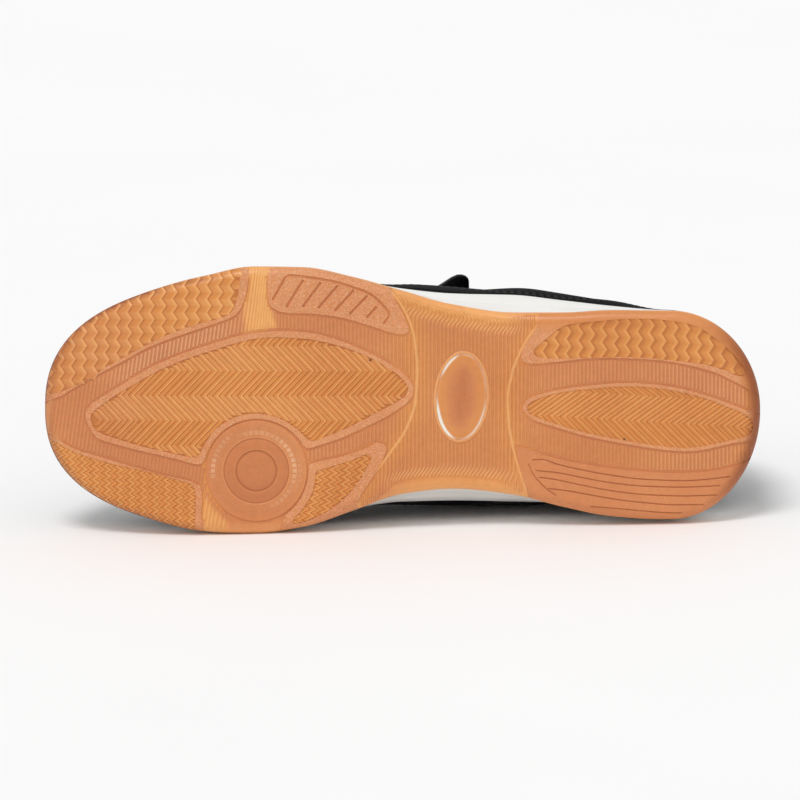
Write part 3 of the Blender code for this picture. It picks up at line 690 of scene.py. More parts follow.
def ribbon(shell, line, profile, tint, across=None, breaks=()):
    """A ridge along a plan line. The profile has rows of offset, recess and shade.

    The tint has, for each point, how much more contrast and lightness it has, and its rose, stipple and pale
    paint. No face spans a break, where the line has a point twice."""
    line = np.asarray(line, float)
    sideways = normals(line, closed=False) if across is None else np.broadcast_to(across, line.shape)
    contrast, light, *rest = np.broadcast_to(np.asarray(tint, float), (len(line), 5)).T
    points = np.concatenate([on_tread(line + sideways * offset, recess) for offset, recess, _ in profile])
    paint = []
    for _, _, shade in profile:
        shades = MEAN_SHADE + (shade - MEAN_SHADE) * (1 + contrast) + light
        paint.append(np.column_stack((shades, *rest)))
    count, last = len(line), len(line) - 1
    faces = [face for face in grid_faces(len(profile), count) if face[0] % count not in breaks]
    faces.append(tuple(k * count for k in range(len(profile))))
    faces.append(tuple(k * count + last for k in reversed(range(len(profile)))))
    shell.add(points, facing_ground(points, faces), np.concatenate(paint))


SHORTEST_RUN = 4


def runs(marks, keep, spacing):
    """Stretches of a finely stepped line that are kept, thinned to their ends, marks and a spacing."""
    edges = np.flatnonzero(np.diff(np.concatenate(([0], keep.astype(int), [0]))))
    for start, stop in zip(edges[::2], edges[1::2]):
        if stop - start < SHORTEST_RUN:
            continue
        picked = np.arange(start, stop)
        chosen = marks[picked] | (picked % spacing == 0)
        chosen[0] = chosen[-1] = True
        yield picked[chosen]


FINE_STEPS, ROLL_STEPS = 9, 2
MEAN_SHADE = 0.45

# Zigzag ridges: spacing, run and depth of a zig, one ridge's x, one left corner's y, how ridges and rows of
# corners lean, how dim every other ridge is, width of the grooves, shade of the painted highlight on the
# crests, and how much lighter the arms are that fall towards the heel, as painted light on the arms that face
# the light
Zigzag = namedtuple("Zigzag", "spacing run depth place left_y lean slope dim groove crest facet")
ZIGZAGS = {
    "toe_lateral": Zigzag(4.6, 2.77, 1.95, 206.45, 1.06, 0.0, 0.0, 0.0, 0.36, 0.85, 0.16),
    "toe_medial": Zigzag(2.42, 1.37, 2.2, 226.0, -0.9, 0.0, 0.0, 0.45, 0.3, 1.0, 0.06),
    "medial_wedge": Zigzag(2.8, 1.46, 2.6, 162.1, -0.43, -0.22, 0.0, 0.45, 0.36, 1.0, 0.06),
    "heel_lateral": Zigzag(4.8, 2.92, 2.0, 45.7, 27.45, 0.0, 0.096, 0.0, 0.9, 0.8, 0.06),
    "forefoot_leaf": Zigzag(2.44, 10.15, 9.7, 201.0, 6.2, 0.0, 0.0, 0.5, 0.26, 1.0, 0.2),
}
HEEL_LEAF = Zigzag(2.5, 0.0, 0.0, 0.0, 0.0, 0.0, 0.0, 0.5, 0.28, 0.85, -0.1)


def zigzag_lines(field, zigzag):
    """Zigzag lines across a field, each a list of fine points, with a mark on its corners."""
    low, high = field.min(axis=0), field.max(axis=0)
    reach = zigzag.depth + abs(zigzag.lean) * max(abs(low[1]), abs(high[1]))
    first = 2 * math.floor((low[0] - reach - zigzag.place) / zigzag.spacing / 2)
    last = (high[0] + reach - zigzag.place) / zigzag.spacing
    for place in zigzag.place + np.arange(first, last) * zigzag.spacing:
        left_y = zigzag.left_y + zigzag.slope * place
        count = math.ceil((high[1] - low[1]) / zigzag.run) + 2
        number = math.floor((low[1] - left_y) / zigzag.run) + np.arange(count)
        corner_y = left_y + number * zigzag.run
        corner_x = place + np.where(number % 2 == 0, 0.5, -0.5) * zigzag.depth + zigzag.lean * corner_y
        fine = np.arange((count - 1) * FINE_STEPS + 1) / FINE_STEPS
        line = [np.interp(fine, np.arange(count), corner) for corner in (corner_x, corner_y)]
        yield np.column_stack(line), np.arange(len(fine)) % FINE_STEPS == 0


# The heel leaf's arrows: axis, slopes of the arms, lateral arm's turn, step, reach, and first and last place
HEEL_AXIS = ((92.0, -1.6), (5.0, -6.6))
HEEL_ARMS = (1.4, 1.0)
HEEL_TURN, HEEL_ARM_STEP = 9.7, 0.2
HEEL_ARM_REACH = 24.0
HEEL_ARROWS = (-10.0, 122.0)


def heel_chevrons():
    """Arrow lines that point towards the toe, with their points on the heel leaf's axis.

    Their lateral arms turn back close to the leaf's border."""
    (x0, y0), (x1, y1) = HEEL_AXIS
    arm = np.linspace(-HEEL_ARM_REACH, HEEL_ARM_REACH, round(2 * HEEL_ARM_REACH / HEEL_ARM_STEP) + 1)
    corners = np.isclose(arm, 0.0) | np.isclose(arm, HEEL_TURN, atol=0.55 * HEEL_ARM_STEP)
    lateral, medial = HEEL_ARMS
    back = np.where(arm > 0, lateral * (HEEL_TURN - np.abs(arm - HEEL_TURN)), -medial * arm)
    for x in np.arange(*HEEL_ARROWS, HEEL_LEAF.spacing):
        axis_y = y0 + (x - x0) * (y1 - y0) / (x1 - x0)
        yield np.column_stack((x - back, axis_y + arm)), corners


FIELD_FLOOR, FIELD_LAP, RIDGE_LAP = 0.37, 0.2, 0.3

# A ridge's profile for a usual spacing: end of the spacing, side of the groove there, offset from it, recess
# and shade, which is painted shade in the groove and a painted highlight on the crest
RIDGE_SPACING = 2.44
RIDGE = (
    (-0.5, 0.5, -0.10, 0.40, 0.0), (-0.5, 0.5, 0.08, 0.22, 0.45), (-0.5, 0.5, 0.18, 0.12, 1.0),
    (-0.5, 0.5, 0.52, 0.10, 1.0), (-0.5, 0.5, 0.74, 0.15, 0.55), (0.5, -0.5, -0.35, 0.25, 0.4),
    (0.5, -0.5, -0.06, 0.31, 0.3), (0.5, -0.5, 0.08, 0.39, 0.0),
)
# Ridges are rosier at the lateral toe and darker towards the heel. Their falling arms are lighter and rosier,
# as painted light on the arms that face the light.
TOE_ROSE, TOE_ROSE_X, TOE_ROSE_Y = 0.4, (240, 262), -13
HEEL_DIM, HEEL_DIM_X, FALLING_LIGHT = 0.12, (165, 205), 0.6


def ridges(shell, field, lines, zigzag):
    """Ridges along lines, cut off at the field's border and at the sole's edge."""
    bright = []
    scale = zigzag.spacing / RIDGE_SPACING
    for end, side, offset, recess, shade in RIDGE:
        place = end * zigzag.spacing + side * zigzag.groove + offset * scale
        bright.append((place, recess, min(shade, zigzag.crest)))
    dimmed = [(offset, recess, min(shade, 1 - zigzag.dim)) for offset, recess, shade in bright]
    for number, (line, corners) in enumerate(lines):
        keep = inside(line, field) & inside(line, RIDGE_LIMIT)
        rolled = (distance_to(line, SOLE) < EDGE_REACH) & (np.arange(len(line)) % ROLL_STEPS == 0)
        for picked in runs(corners | rolled, keep, FINE_STEPS):
            turns = np.flatnonzero(corners[picked][1:-1]) + 1
            doubled = np.sort(np.concatenate((np.arange(len(picked)), turns)))
            run = line[picked][doubled]
            ends_at = np.append(np.flatnonzero(np.diff(doubled) == 0), len(run) - 1)
            # Painted light: arms that fall towards the heel face the light and are painted lighter and rosier
            falling = np.zeros(len(run))
            start = 0
            for end in ends_at:
                step = run[end] - run[start]
                falling[start:end + 1] = zigzag.facet * np.sign(step[0] * step[1])
                start = end + 1
            x, y = run.T
            rose = np.maximum(falling, 0.0) + TOE_ROSE * ease(x, *TOE_ROSE_X) * (y > TOE_ROSE_Y)
            light = FALLING_LIGHT * falling - HEEL_DIM * fade(x, *HEEL_DIM_X)
            tint = np.column_stack((np.zeros(len(run)), light, rose, np.zeros((len(run), 2))))
            ribbon(shell, run, dimmed if number % 2 else bright, tint, (1.0, 0.0), set(ends_at[:-1]))


def ellipse(centre, half_x, half_y, count, tilt=0.0):
    angles = 2 * np.pi * np.arange(count) / count
    x, y = half_x * np.cos(angles), half_y * np.sin(angles)
    c, s = math.cos(math.radians(tilt)), math.sin(math.radians(tilt))
    return np.column_stack((centre[0] + c * x - s * y, centre[1] + s * x + c * y))


def dish(shell, rings):
    """Nested closed loops, each with its recess and paint, filled at the last one."""
    count = len(rings[0][0])
    points = np.concatenate([on_tread(loop, recess) for loop, recess, _ in rings])
    paint = np.concatenate([np.broadcast_to(np.asarray(p, float), (count, 4)) for _, _, p in rings])
    faces = grid_faces(len(rings), count, wrap=True)
    faces.append(tuple(range((len(rings) - 1) * count, len(rings) * count)))
    shell.add(points, facing_ground(points, faces), paint)


def patches(angle, rows):
    """Strongest of several patches at an angle in degrees. Each has its middle, spread and strength."""
    shares = []
    for middle, spread, strength in rows:
        off = (angle - middle + 180) % 360 - 180
        shares.append(strength * np.exp(-(off / spread) ** 4))
    return np.max(shares, axis=0)


# Rings of the pivot: radius, recess and paint, with painted shade in the grooves and painted highlights on
# their lips
PIVOT_RINGS = (
    (20.6, 0.47, SMOOTH_ROSE), (20.4, 0.06, SMOOTH_ROSE), (16.7, 0.06, SMOOTH_ROSE), (16.55, 0.11, SHADED_SEAM_ROSE),
    (16.4, 0.06, LIP_ROSE), (16.1, 0.06, SMOOTH_ROSE), (13.8, 0.06, SMOOTH_ROSE), (13.5, 0.06, LIP_ROSE),
    (13.3, 0.2, SHADED_ROSE), (12.95, 0.2, SHADED_ROSE), (12.75, 0.08, DISC_ROSE), (8.95, 0.08, DISC_ROSE),
    (8.65, 0.08, LIP_ROSE), (8.5, 0.36, SHADED_ROSE), (7.85, 0.36, SHADED_ROSE),
    (7.5, 0.18, DISC_ROSE), (4.0, 0.16, DISC_ROSE),
)
# Rings of small squares: radius, count, and where and how strongly they are pale, as middle, spread, strength
PIVOT_SQUARES = (
    (15.5, 44, ((160, 42, 0.115), (225, 25, 0.05), (95, 25, 0.06))),
    (17.6, 52, ((6, 15, 0.11), (35, 20, 0.05), (185, 22, 0.03))),
)
SQUARE_RADIAL, SQUARE_ROUND, SQUARE_TOP, SQUARE_FOOT = 0.85, 0.78, 0.01, 0.1
SQUARE_CORNERS = ((1, 1), (1, -1), (-1, -1), (-1, 1))
SQUARE_SHADE, SQUARE_GLOW, SQUARE_STIPPLE = 0.5, 3.0, 0.1
PIVOT_STEPS, PIVOT_MARGIN = 128, 0.9
# Smooth rubber between the pivot and the medial edge
PIVOT_FOOT = ((216.5, -38), (216.5, -60), (183, -60), (183, -44), (200, -40))


def pivot(shell):
    """Turning point under the ball of the foot: flat rings, with two rows of small squares."""
    dish(shell, [(ellipse(PIVOT_CENTRE, r, r, PIVOT_STEPS), *rest) for r, *rest in PIVOT_RINGS])
    faces = [(0, 1, 2, 3)] + [(k, (k + 1) % 4, 4 + (k + 1) % 4, 4 + k) for k in range(4)]
    for radius, count, pale_patches in PIVOT_SQUARES:
        for angle in np.arange(count) * 360 / count:
            pale = patches(angle, pale_patches)
            out = np.array((math.cos(math.radians(angle)), math.sin(math.radians(angle))))
            radial, side = out * SQUARE_RADIAL, np.array((-out[1], out[0])) * SQUARE_ROUND
            middle = np.array(PIVOT_CENTRE) + out * radius
            square = np.array([middle + a * radial + b * side for a, b in SQUARE_CORNERS])
            points = np.concatenate((on_tread(square, SQUARE_TOP), on_tread(square, SQUARE_FOOT)))
            paint = (SQUARE_SHADE + SQUARE_GLOW * pale, 1.0, SQUARE_STIPPLE, pale)
            shell.add(points, facing_ground(points, faces), paint)


# Where painted highlights of the oval's glossy rim lie in the slit round the window: middle, spread and
# strength
OVAL_HIGHLIGHTS = ((52, 25, 0.8), (-43, 37, 1.0), (-137, 40, 0.55), (150, 26, 0.25), (100, 18, 0.3))
# The slit's width, shade and share of rose, and how much the painted highlights add to the first two
SLIT_WIDTH, SLIT_SHADE, SLIT_ROSE = 0.3, 0.35, 0.75
HIGHLIGHT_WIDTH, HIGHLIGHT_SHADE = 0.85, 0.5
OVAL_STEPS, OVAL_MARGIN = 120, 1.2


def oval(shell):
    """The bare oval window at the waist: a lip, a slit with painted highlights in places, and a smooth dome.
    """
    # Pale cream in the slit is a painted highlight, and the slit is widest where it is strongest
    pale = patches(360 * np.arange(OVAL_STEPS) / OVAL_STEPS, OVAL_HIGHLIGHTS)
    rose, no_stipple = np.full(OVAL_STEPS, SLIT_ROSE), np.zeros(OVAL_STEPS)
    slit = np.column_stack((SLIT_SHADE + HIGHLIGHT_SHADE * pale, rose, no_stipple, pale))
    wide = SLIT_WIDTH + HIGHLIGHT_WIDTH * pale
    steps = (
        (-1.3, 0.47, GROOVE_ROSE), (-1.0, 0.22, EDGE_PEACH), (-0.2, 0.12, EDGE_PEACH),
        (0.0, 0.15, EDGE_PEACH), (0.08, 0.26, slit), (wide, 0.26, slit), (wide + 0.1, 0.16, EDGE_PEACH),
        (wide + 0.7, 0.10, DOME_GOLD), (3.2, 0.08, DOME_GOLD), (5.2, 0.06, SMOOTH_ROSE),
        (9.0, 0.05, DISC_ROSE),
    )
    rings = []
    for step, recess, paint in steps:
        sizes = [half - step for half in OVAL_HALF_SIZE]
        rings.append((ellipse(OVAL_CENTRE, *sizes, OVAL_STEPS, OVAL_TILT), recess, paint))
    dish(shell, rings)


# Fine grooves of the lateral pad and of the medial heel: a border line first, and then the grooves in it
PAD_GROOVES = (
    ((197.2, 45.5), (193.6, 51.9), (192.0, 54.4), (190.2, 55.1), (182.4, 54.3), (173.1, 52.7), (164.9, 50.3),
     (158.7, 48.0), (154.4, 44.7), (150.6, 40.2), (150.4, 38.8), (152.3, 35.9)),
    ((191.6, 42.7), (185.2, 53.0)), ((185.0, 42.7), (178.2, 51.9)), ((178.6, 42.3), (171.3, 50.8)),
    ((172.1, 41.0), (164.8, 48.9)), ((165.9, 39.8), (159.3, 46.7)), ((159.1, 38.3), (155.6, 42.2)),
)
HEEL_GROOVES = (
    ((93.8, -21.7), (91.8, -25.8), (89.2, -29.0), (86.6, -31.5), (82.9, -34.1)),
    ((92.0, -19.8), (88.2, -19.6), (82.6, -21.4), (73.2, -23.6), (62.0, -25.7), (47.1, -27.6), (31.5, -28.2),
     (20.3, -27.5), (12.8, -26.5)),
    ((90.8, -24.1), (82.6, -24.9), (73.2, -26.7), (62.0, -28.8), (47.1, -30.4), (31.5, -30.8), (16.6, -30.2)),
    ((89.4, -26.9), (84.4, -27.5), (73.2, -29.8), (62.0, -32.0), (47.1, -33.8), (31.5, -34.4), (17.8, -34.0)),
    ((85.6, -31.4), (78.2, -32.3), (68.2, -34.1), (57.0, -36.0), (47.1, -37.1), (35.2, -38.0), (23.4, -37.9)),
    ((68.6, -38.7), (59.5, -39.4), (47.1, -40.5), (37.7, -41.2), (32.1, -41.3)),
)
PAD_GROOVE_HALF, HEEL_GROOVE_HALF = 0.48, 0.26
GROOVE_STEPS = 6
Row = namedtuple("Row", "x value")


def open_curve(points, count):
    """A smooth open curve through points in plan or in space."""
    points = np.asarray(points, float)
    places = np.linspace(0, len(points) - 1, count)
    columns = [curve([Row(k, v) for k, v in enumerate(column)], "value")(places) for column in points.T]
    return np.stack(columns, axis=1)


def groove_outline(points, half):
    """Closed outline of a round-ended groove through points."""
    line = open_curve(points, GROOVE_STEPS * len(points))
    side = normals(line, closed=False) * half
    ends_round = []
    for end, out in ((line[-1], side[-1]), (line[0], -side[0])):
        ahead = np.array((-out[1], out[0]))
        ends_round.append([end + out * math.cos(a) + ahead * math.sin(a) for a in np.radians((45, 90, 135))])
    return np.concatenate((line + side, ends_round[0], (line - side)[::-1], ends_round[1]))


# Ribs in the channels and the waist
RIB_PITCH, RIB_SAMPLE, RIB_GAP = 1.57, 0.4, 0.8
# The rib's profile: offset, recess and shade, which is painted shade at its feet and a painted highlight on
# its top
RIB = ((-0.42, 0.47, 0.25), (-0.24, 0.26, 0.45), (0.0, 0.21, 0.7), (0.20, 0.26, 0.45), (0.42, 0.47, 0.25))
GOLD_BANDS = (
    ((208.5, 62), (198.7, 62), (198.9, 44), (196, 34), (208, 32), (209, 42)),
    ((226.3, -32), (227, -54), (215.5, -54), (216, -45), (221.5, -40)),
)
WAIST_ARCS = (
    ((151.1, 50.4), (144.6, 41.9), (140.5, 31.7), (138.9, 18.3), (139.3, 6.1), (143, -6.5), (150.3, -17.5),
     (158.8, -28.5), (164.9, -38.2)),
    ((86, 39), (91.3, 33.4), (97, 24.4), (100.7, 14.6), (102.3, 4.5), (101.5, -7.3), (99, -19.1),
     (94.6, -33)),
)
# The arc's profile: offset, recess and shade, painted shade at its feet and a painted highlight on its top
ARC = ((-0.9, 0.47, 0.3), (-0.4, 0.18, 0.9), (0.2, 0.16, 1.0), (0.9, 0.47, 0.3))
ARC_STEPS, ARC_TINT = 60, (0.0, 0.0, 0.3, 0.1, 0.0)

# Where ribs stand out more or less: by how much, the window along the foot, the side of the foot, and how far
# out to it the change starts and is full. One that starts far on the other side takes in the whole width.
RibZone = namedtuple("RibZone", "more window side start full")
RIB_ZONES = (
    RibZone(1.6, (204, 222, 250, 270), LATERAL, 4, 12),
    RibZone(0.6, (-2, -1, 26, 52), LATERAL, -99, -98),
    RibZone(-0.8, (44, 62, 92, 100), MEDIAL, 4, 10),
    RibZone(-0.6, (196, 206, 255, 270), MEDIAL, 2, 8),
    RibZone(-0.4, (150, 160, 195, 205), LATERAL, 20, 28),
)


def rib_contrast(plan):
    """How much more the ribs stand out at plan points."""
    x, y = plan.T
    return sum(z.more * window(x, *z.window) * ease(z.side * y, z.start, z.full) for z in RIB_ZONES)


# Lines of the ribs: reach across, places along the foot, and lean at the forefoot
RIB_REACH, RIB_PLACES = (-56.0, 62.0), (4.0, SHOE_LENGTH - 2.0)
RIB_LEAN, RIB_LEAN_X = -0.14, (190, 215)
# Curls at the waist's edges: their window, how far they swing, and at what distances from the edge
CURL_X, LATERAL_SWING, MEDIAL_SWING = (94, 104, 142, 156), 2.4, 2.8
LATERAL_CURL_OUT, LATERAL_CURL_BACK, MEDIAL_CURL = (5.2, 8.6), (1.6, 4.2), (5.4, 10.3)
# How near the sole's edge ribs come, and how much farther off they stay at the waist on each side
RIB_EDGE, LATERAL_EDGE, MEDIAL_EDGE = 0.6, 1.3, 4.8
# Ribs are lighter in curls and gold bands, and deeper coloured in the middle of the waist and the medial heel
CURL_LIGHT, CURL_LIGHT_MOST, BAND_LIGHT = 0.4, 0.35, 0.4
DEEP_WAIST, DEEP_Y, DEEP_HEEL_X, DEEP_DIM, DEEP_GOLD = (8, 14), (3, 8), (84, 96), 0.07, 0.25
RIB_STIPPLE, RIB_PALE, RIB_SPACING = 0.1, 0.025, 4


def ribs(shell, blocked):
    """Fine ribs across the width wherever no panel covers the tread. By the waist's edges they curl."""
    profile = [(offset * RIB_PITCH, recess, shade) for offset, recess, shade in RIB]
    y = np.arange(*RIB_REACH, RIB_SAMPLE)
    corners = np.zeros(len(y), bool)
    for place in np.arange(*RIB_PLACES, RIB_PITCH):
        line = np.column_stack((place + RIB_LEAN * ease(place, *RIB_LEAN_X) * y, y))
        distance = distance_to(line, SOLE)
        waist = window(line[:, 0], *CURL_X)
        lateral_curl = ease(distance, *LATERAL_CURL_OUT) - ease(distance, *LATERAL_CURL_BACK)
        medial_curl = fade(distance, *MEDIAL_CURL)
        curl = waist * np.where(y > 0, LATERAL_SWING * lateral_curl, MEDIAL_SWING * medial_curl)
        line[:, 0] += curl
        contrast = rib_contrast(line)
        keep = distance > RIB_EDGE + waist * np.where(y > 0, LATERAL_EDGE, MEDIAL_EDGE)
        for loop in blocked:
            keep &= ~inside(line, loop)
        medial_heel = ease(-y, *DEEP_Y) * fade(line[:, 0], *DEEP_HEEL_X)
        deep = np.maximum(waist * ease(distance, *DEEP_WAIST), medial_heel)
        lift = np.minimum(CURL_LIGHT * np.abs(np.gradient(curl, y)), CURL_LIGHT_MOST)
        lift = lift + BAND_LIGHT * band_gold(line) - DEEP_DIM * deep
        for picked in runs(corners, keep, RIB_SPACING):
            run = line[picked]
            rose = (1 - gold_at(run)) * (1 - DEEP_GOLD * deep[picked])
            stipple, pale = np.full(len(run), RIB_STIPPLE), RIB_PALE * np.maximum(contrast[picked], 0.0)
            tint = np.column_stack((contrast[picked], lift[picked], rose, stipple, pale))
            ribbon(shell, run, profile, tint, across=(1.0, 0.0))


# The tray's loops: distances from the sole's edge under the tread, and shares of the way up the side wall
TRAY_STEPS, TRAY_WALL = (7.0, *EDGE_STEPS, 0.3, 0.05), (0.3, 0.6, 0.85)
EDGE_LIFT = 0.5
# The side wall's lean, the rounded corner and start of the rim, and the lean of the tray's inside
WALL_IN, WALL_LEAN, CORNER_IN, CORNER_DROP, RIM_START, TRAY_LEAN = 0.1, 0.2, 0.45, 0.2, 0.8, 0.1
# How peach coloured the first loops are, from the floor between the panels outwards
TRAY_PEACH, TRAY_GOLD_LIGHT = [0.0, 0.1, 0.5, 0.8], 0.12


def outsole_body(shell):
    """The rubber tray under the tread: floor between the panels, rolled edge, side wall, rim and inside."""
    def wall_foot(x):
        return ground(x) + RUBBER_EDGE

    def side(share):
        plan = inset(SOLE, WALL_IN + WALL_LEAN * share)
        return lifted(plan, lambda x: wall_foot(x) + share * (rubber(x) - wall_foot(x)))

    loops = [on_tread(inset(SOLE, step), TREAD_DEPTH) for step in TRAY_STEPS]
    loops.append(lifted(SOLE, lambda x: wall_foot(x) + EDGE_LIFT))
    loops += [side(share) for share in TRAY_WALL]
    loops.append(lifted(inset(SOLE, CORNER_IN), lambda x: rubber(x) - CORNER_DROP))
    loops += [lifted(inset(SOLE, step), rubber) for step in (RIM_START, RIM_WIDTH)]
    loops.append(lifted(inset(SOLE, RIM_WIDTH + TRAY_LEAN), tray_floor))
    points = np.concatenate(loops)
    peach = TRAY_PEACH + [1.0] * (len(loops) - len(TRAY_PEACH))
    peach = np.repeat(peach, len(SOLE))
    gold = gold_at(points[:, :2])
    paint = np.outer(1 - peach, CHANNEL_ROSE) + np.outer(peach, EDGE_PEACH)
    paint[:, 1] *= 1 - gold
    paint[:, 0] += TRAY_GOLD_LIGHT * gold * (1 - peach)
    shell.add(points, closed_form(loops), paint)


# Dark specks: places, half sizes, count of corners, tilt, recess and paint
SPECKS, SPECK_SHAPE = ((55.1, -11.4), (158.0, 20.7)), (0.55, 0.4, 12, 50)
SPECK_RECESS, SPECK_SOOT = 0.05, (0.0, 0.0, 0.0, -1.5)
BLOCK_STEPS = 64


def clear_of_pivot(plan):
    """Moves a panel's points out of the pivot's groove."""
    off = plan - np.array(PIVOT_CENTRE)
    far = np.linalg.norm(off, axis=1)
    near = far < PIVOT_RADIUS + PIVOT_GROOVE
    plan[near] = np.array(PIVOT_CENTRE) + off[near] / far[near, None] * (PIVOT_RADIUS + PIVOT_GROOVE)


def make_outsole(finish):
    """The rubber tray with its tread."""
    shell = Shell()
    outsole_body(shell)
    plans = {name: closed_curve(points) for name, points in PANELS.items()}
    for plan in plans.values():
        clear_of_pivot(plan)
    fields = {name: closed_curve(points) for name, points in FIELDS.items()}
    for name, field in fields.items():
        plateau(shell, plans[name], [field], wall_paint=WALL_GOLD)
        plateau(shell, inset(field, -FIELD_LAP), top=FIELD_FLOOR, foot=None, paint=GROOVE_GOLD)
    for name, zigzag in ZIGZAGS.items():
        field = inset(fields[name], -RIDGE_LAP)
        ridges(shell, field, zigzag_lines(field, zigzag), zigzag)
    ridges(shell, inset(fields["heel_leaf"], -RIDGE_LAP), heel_chevrons(), HEEL_LEAF)
    grooves = [groove_outline(groove, PAD_GROOVE_HALF) for groove in PAD_GROOVES]
    plateau(shell, plans["lateral_pad"], grooves)
    grooves = [groove_outline(groove, HEEL_GROOVE_HALF) for groove in HEEL_GROOVES]
    plateau(shell, plans["heel_medial"], grooves, paint=BAND_ROSE)
    pivot(shell)
    oval(shell)
    blocked = [inset(plan, -RIB_GAP) for plan in plans.values()]
    around_pivot = PIVOT_RADIUS + PIVOT_MARGIN
    around_oval = [half + OVAL_MARGIN for half in OVAL_HALF_SIZE]
    blocked.append(ellipse(PIVOT_CENTRE, around_pivot, around_pivot, BLOCK_STEPS))
    blocked.append(ellipse(OVAL_CENTRE, *around_oval, BLOCK_STEPS, OVAL_TILT))
    blocked.append(np.array(PIVOT_FOOT, float))
    ribs(shell, blocked)
    for arc in WAIST_ARCS:
        ribbon(shell, open_curve(arc, ARC_STEPS), ARC, ARC_TINT)
    for centre in SPECKS:
        dish(shell, [(ellipse(centre, *SPECK_SHAPE), SPECK_RECESS, SPECK_SOOT)])
    weather_and_shade(shell)
    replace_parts(shell.make("outsole_tread", "gum_rubber", finish), "outsole")


# Midsole

# Its side: shares of the way up, and how far in from the plain side
MIDSOLE_SIDE = (
    (0.0, 0.25), (0.03, 0.0), (0.2, 0.0), (0.42, 0.0), (0.46, 0.12), (0.5, 0.7), (0.53, 0.9), (0.59, 0.9),
    (0.62, 0.7), (0.66, 0.12), (0.7, 0.0), (0.82, 0.0), (0.92, 0.05), (0.97, 0.4),
)
MIDSOLE_STEP, TRAY_CLEARANCE = 1.0, 0.6


def make_midsole(finish):
    """White foam between the rubber tray and the upper, with a moulded groove round its side."""
    top = outline(MIDSOLE_WIDTHS, *MIDSOLE_ENDS, HALF_LOOP)
    low = inset(SOLE, MIDSOLE_STEP)

    def foot(x):
        return rubber(x) + GAP

    def side(share, depth):
        plan = inset(low + (top - low) * share, depth)
        return lifted(plan, lambda x: foot(x) + share * (feather(x) - foot(x)))

    loops = [
        lifted(inset(SOLE, RIM_WIDTH + TRAY_CLEARANCE), lambda x: tray_floor(x) + GAP),
        lifted(inset(SOLE, RIM_WIDTH + TRAY_CLEARANCE - TRAY_LEAN), foot),
    ]
    loops += [side(share, depth) for share, depth in MIDSOLE_SIDE]
    loops.append(lifted(inset(top, MIDSOLE_STEP), feather))
    shell = Shell()
    shell.add(np.concatenate(loops), closed_form(loops), (1.0, 1.0, 1.0, 1.0))
    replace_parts(shell.make("midsole_foam", "white_foam", finish), "midsole")


# The upper's own surface

section = {column: curve(SECTIONS, column) for column in Section._fields[1:]}


def upper_line(angle):
    """The four control points of the wall's curve from its lower edge to its top edge."""
    start, end = UPPER_ENDS
    x, side = place_at(angle, start, end)
    edge = half_width(MIDSOLE_WIDTHS, x, side, *MIDSOLE_ENDS) - UPPER_LEDGE
    edge = np.minimum(edge, half_width(MIDSOLE_WIDTHS, x, side, start, end))
    foot = np.stack((x, side * edge, feather(x) + GAP), axis=-1)
    top_y = section["top_y"](x) * ends(x, start, end)
    top = np.stack((x + section["shift"](x), side * top_y, section["top_z"](x)), axis=-1)
    out = unit((foot - top) * (1.0, 1.0, 0.0))
    flare = np.radians(np.where(side > 0, section["flare_lateral"](x), section["flare_medial"](x)))[..., None]
    droop = np.radians(section["droop"](x))[..., None]
    up = np.array((0.0, 0.0, 1.0))
    low = foot + section["rise"](x)[..., None] * (np.cos(flare) * up + np.sin(flare) * out)
    high = top + section["reach"](x)[..., None] * (np.cos(droop) * out - np.sin(droop) * up)
    return foot, low, high, top


def upper_point(angle, t):
    """Point of the outer wall at an angle round the shoe and a share t of the way up."""
    angle, t = np.broadcast_arrays(np.asarray(angle, float), np.asarray(t, float))
    a, b, c, d = upper_line(angle)
    t = t[..., None]
    return a * (1 - t) ** 3 + b * 3 * t * (1 - t) ** 2 + c * 3 * t * t * (1 - t) + d * t ** 3


NORMAL_STEP = 0.01
# Where the collar's padding comes in up the wall, and fades along the foot
PAD_UP, PAD_X = (0.5, 0.92), (98, 120)


def upper_normal(angle, t):
    """Outward direction, from small steps round the shoe and up the wall."""
    t = np.asarray(t, float)
    round_step = upper_point(angle + NORMAL_STEP, t) - upper_point(angle - NORMAL_STEP, t)
    above, below = np.minimum(t + NORMAL_STEP, 1), np.maximum(t - NORMAL_STEP, 0)
    up_step = upper_point(angle, above) - upper_point(angle, below)
    up_step = np.where((t == 0)[..., None] if t.ndim else t == 0, (0.0, 0.0, 1.0), up_step)
    return unit(np.cross(up_step, round_step))


def wall_at(angle, t):
    """Thickness of the wall, with the collar's padding."""
    x, _ = place_at(angle, *UPPER_ENDS)
    return WALL + COLLAR_PAD * ease(t, *PAD_UP) * fade(x, *PAD_X)


def inner_point(angle, t):
    """Point of the wall's inside face."""
    return upper_point(angle, t) - upper_normal(angle, t) * wall_at(angle, t)[:, None]


def angle_at(x, side):
    """Angle round the upper at a place along its lower edge, on one side."""
    start, end = UPPER_ENDS
    angle = np.arccos(1 - 2 * (x - start) / (end - start))
    return angle if side == LATERAL else 2 * np.pi - angle


# Soft relief of the outer wall: flex lines across the vamp as place, depth and width, and where they show
FLEX_LINES = ((226.0, 0.55, 2.8), (216.0, 0.7, 3.2), (206.5, 0.5, 2.6))
FLEX_SWING, FLEX_TURN, FLEX_BEND = 2.0, 0.16, 0.004
VAMP_HEIGHT, VAMP_UP = (30, 44), (0.8, 0.9)
# The collar's puff above a seam round it
COLLAR_X, COLLAR_PUFF, COLLAR_UP = (92, 112), 1.1, (0.6, 0.78, 0.86, 1.0)
COLLAR_SEAM, COLLAR_SEAM_DEPTH, COLLAR_SEAM_WIDTH = 0.6, 0.8, 0.025


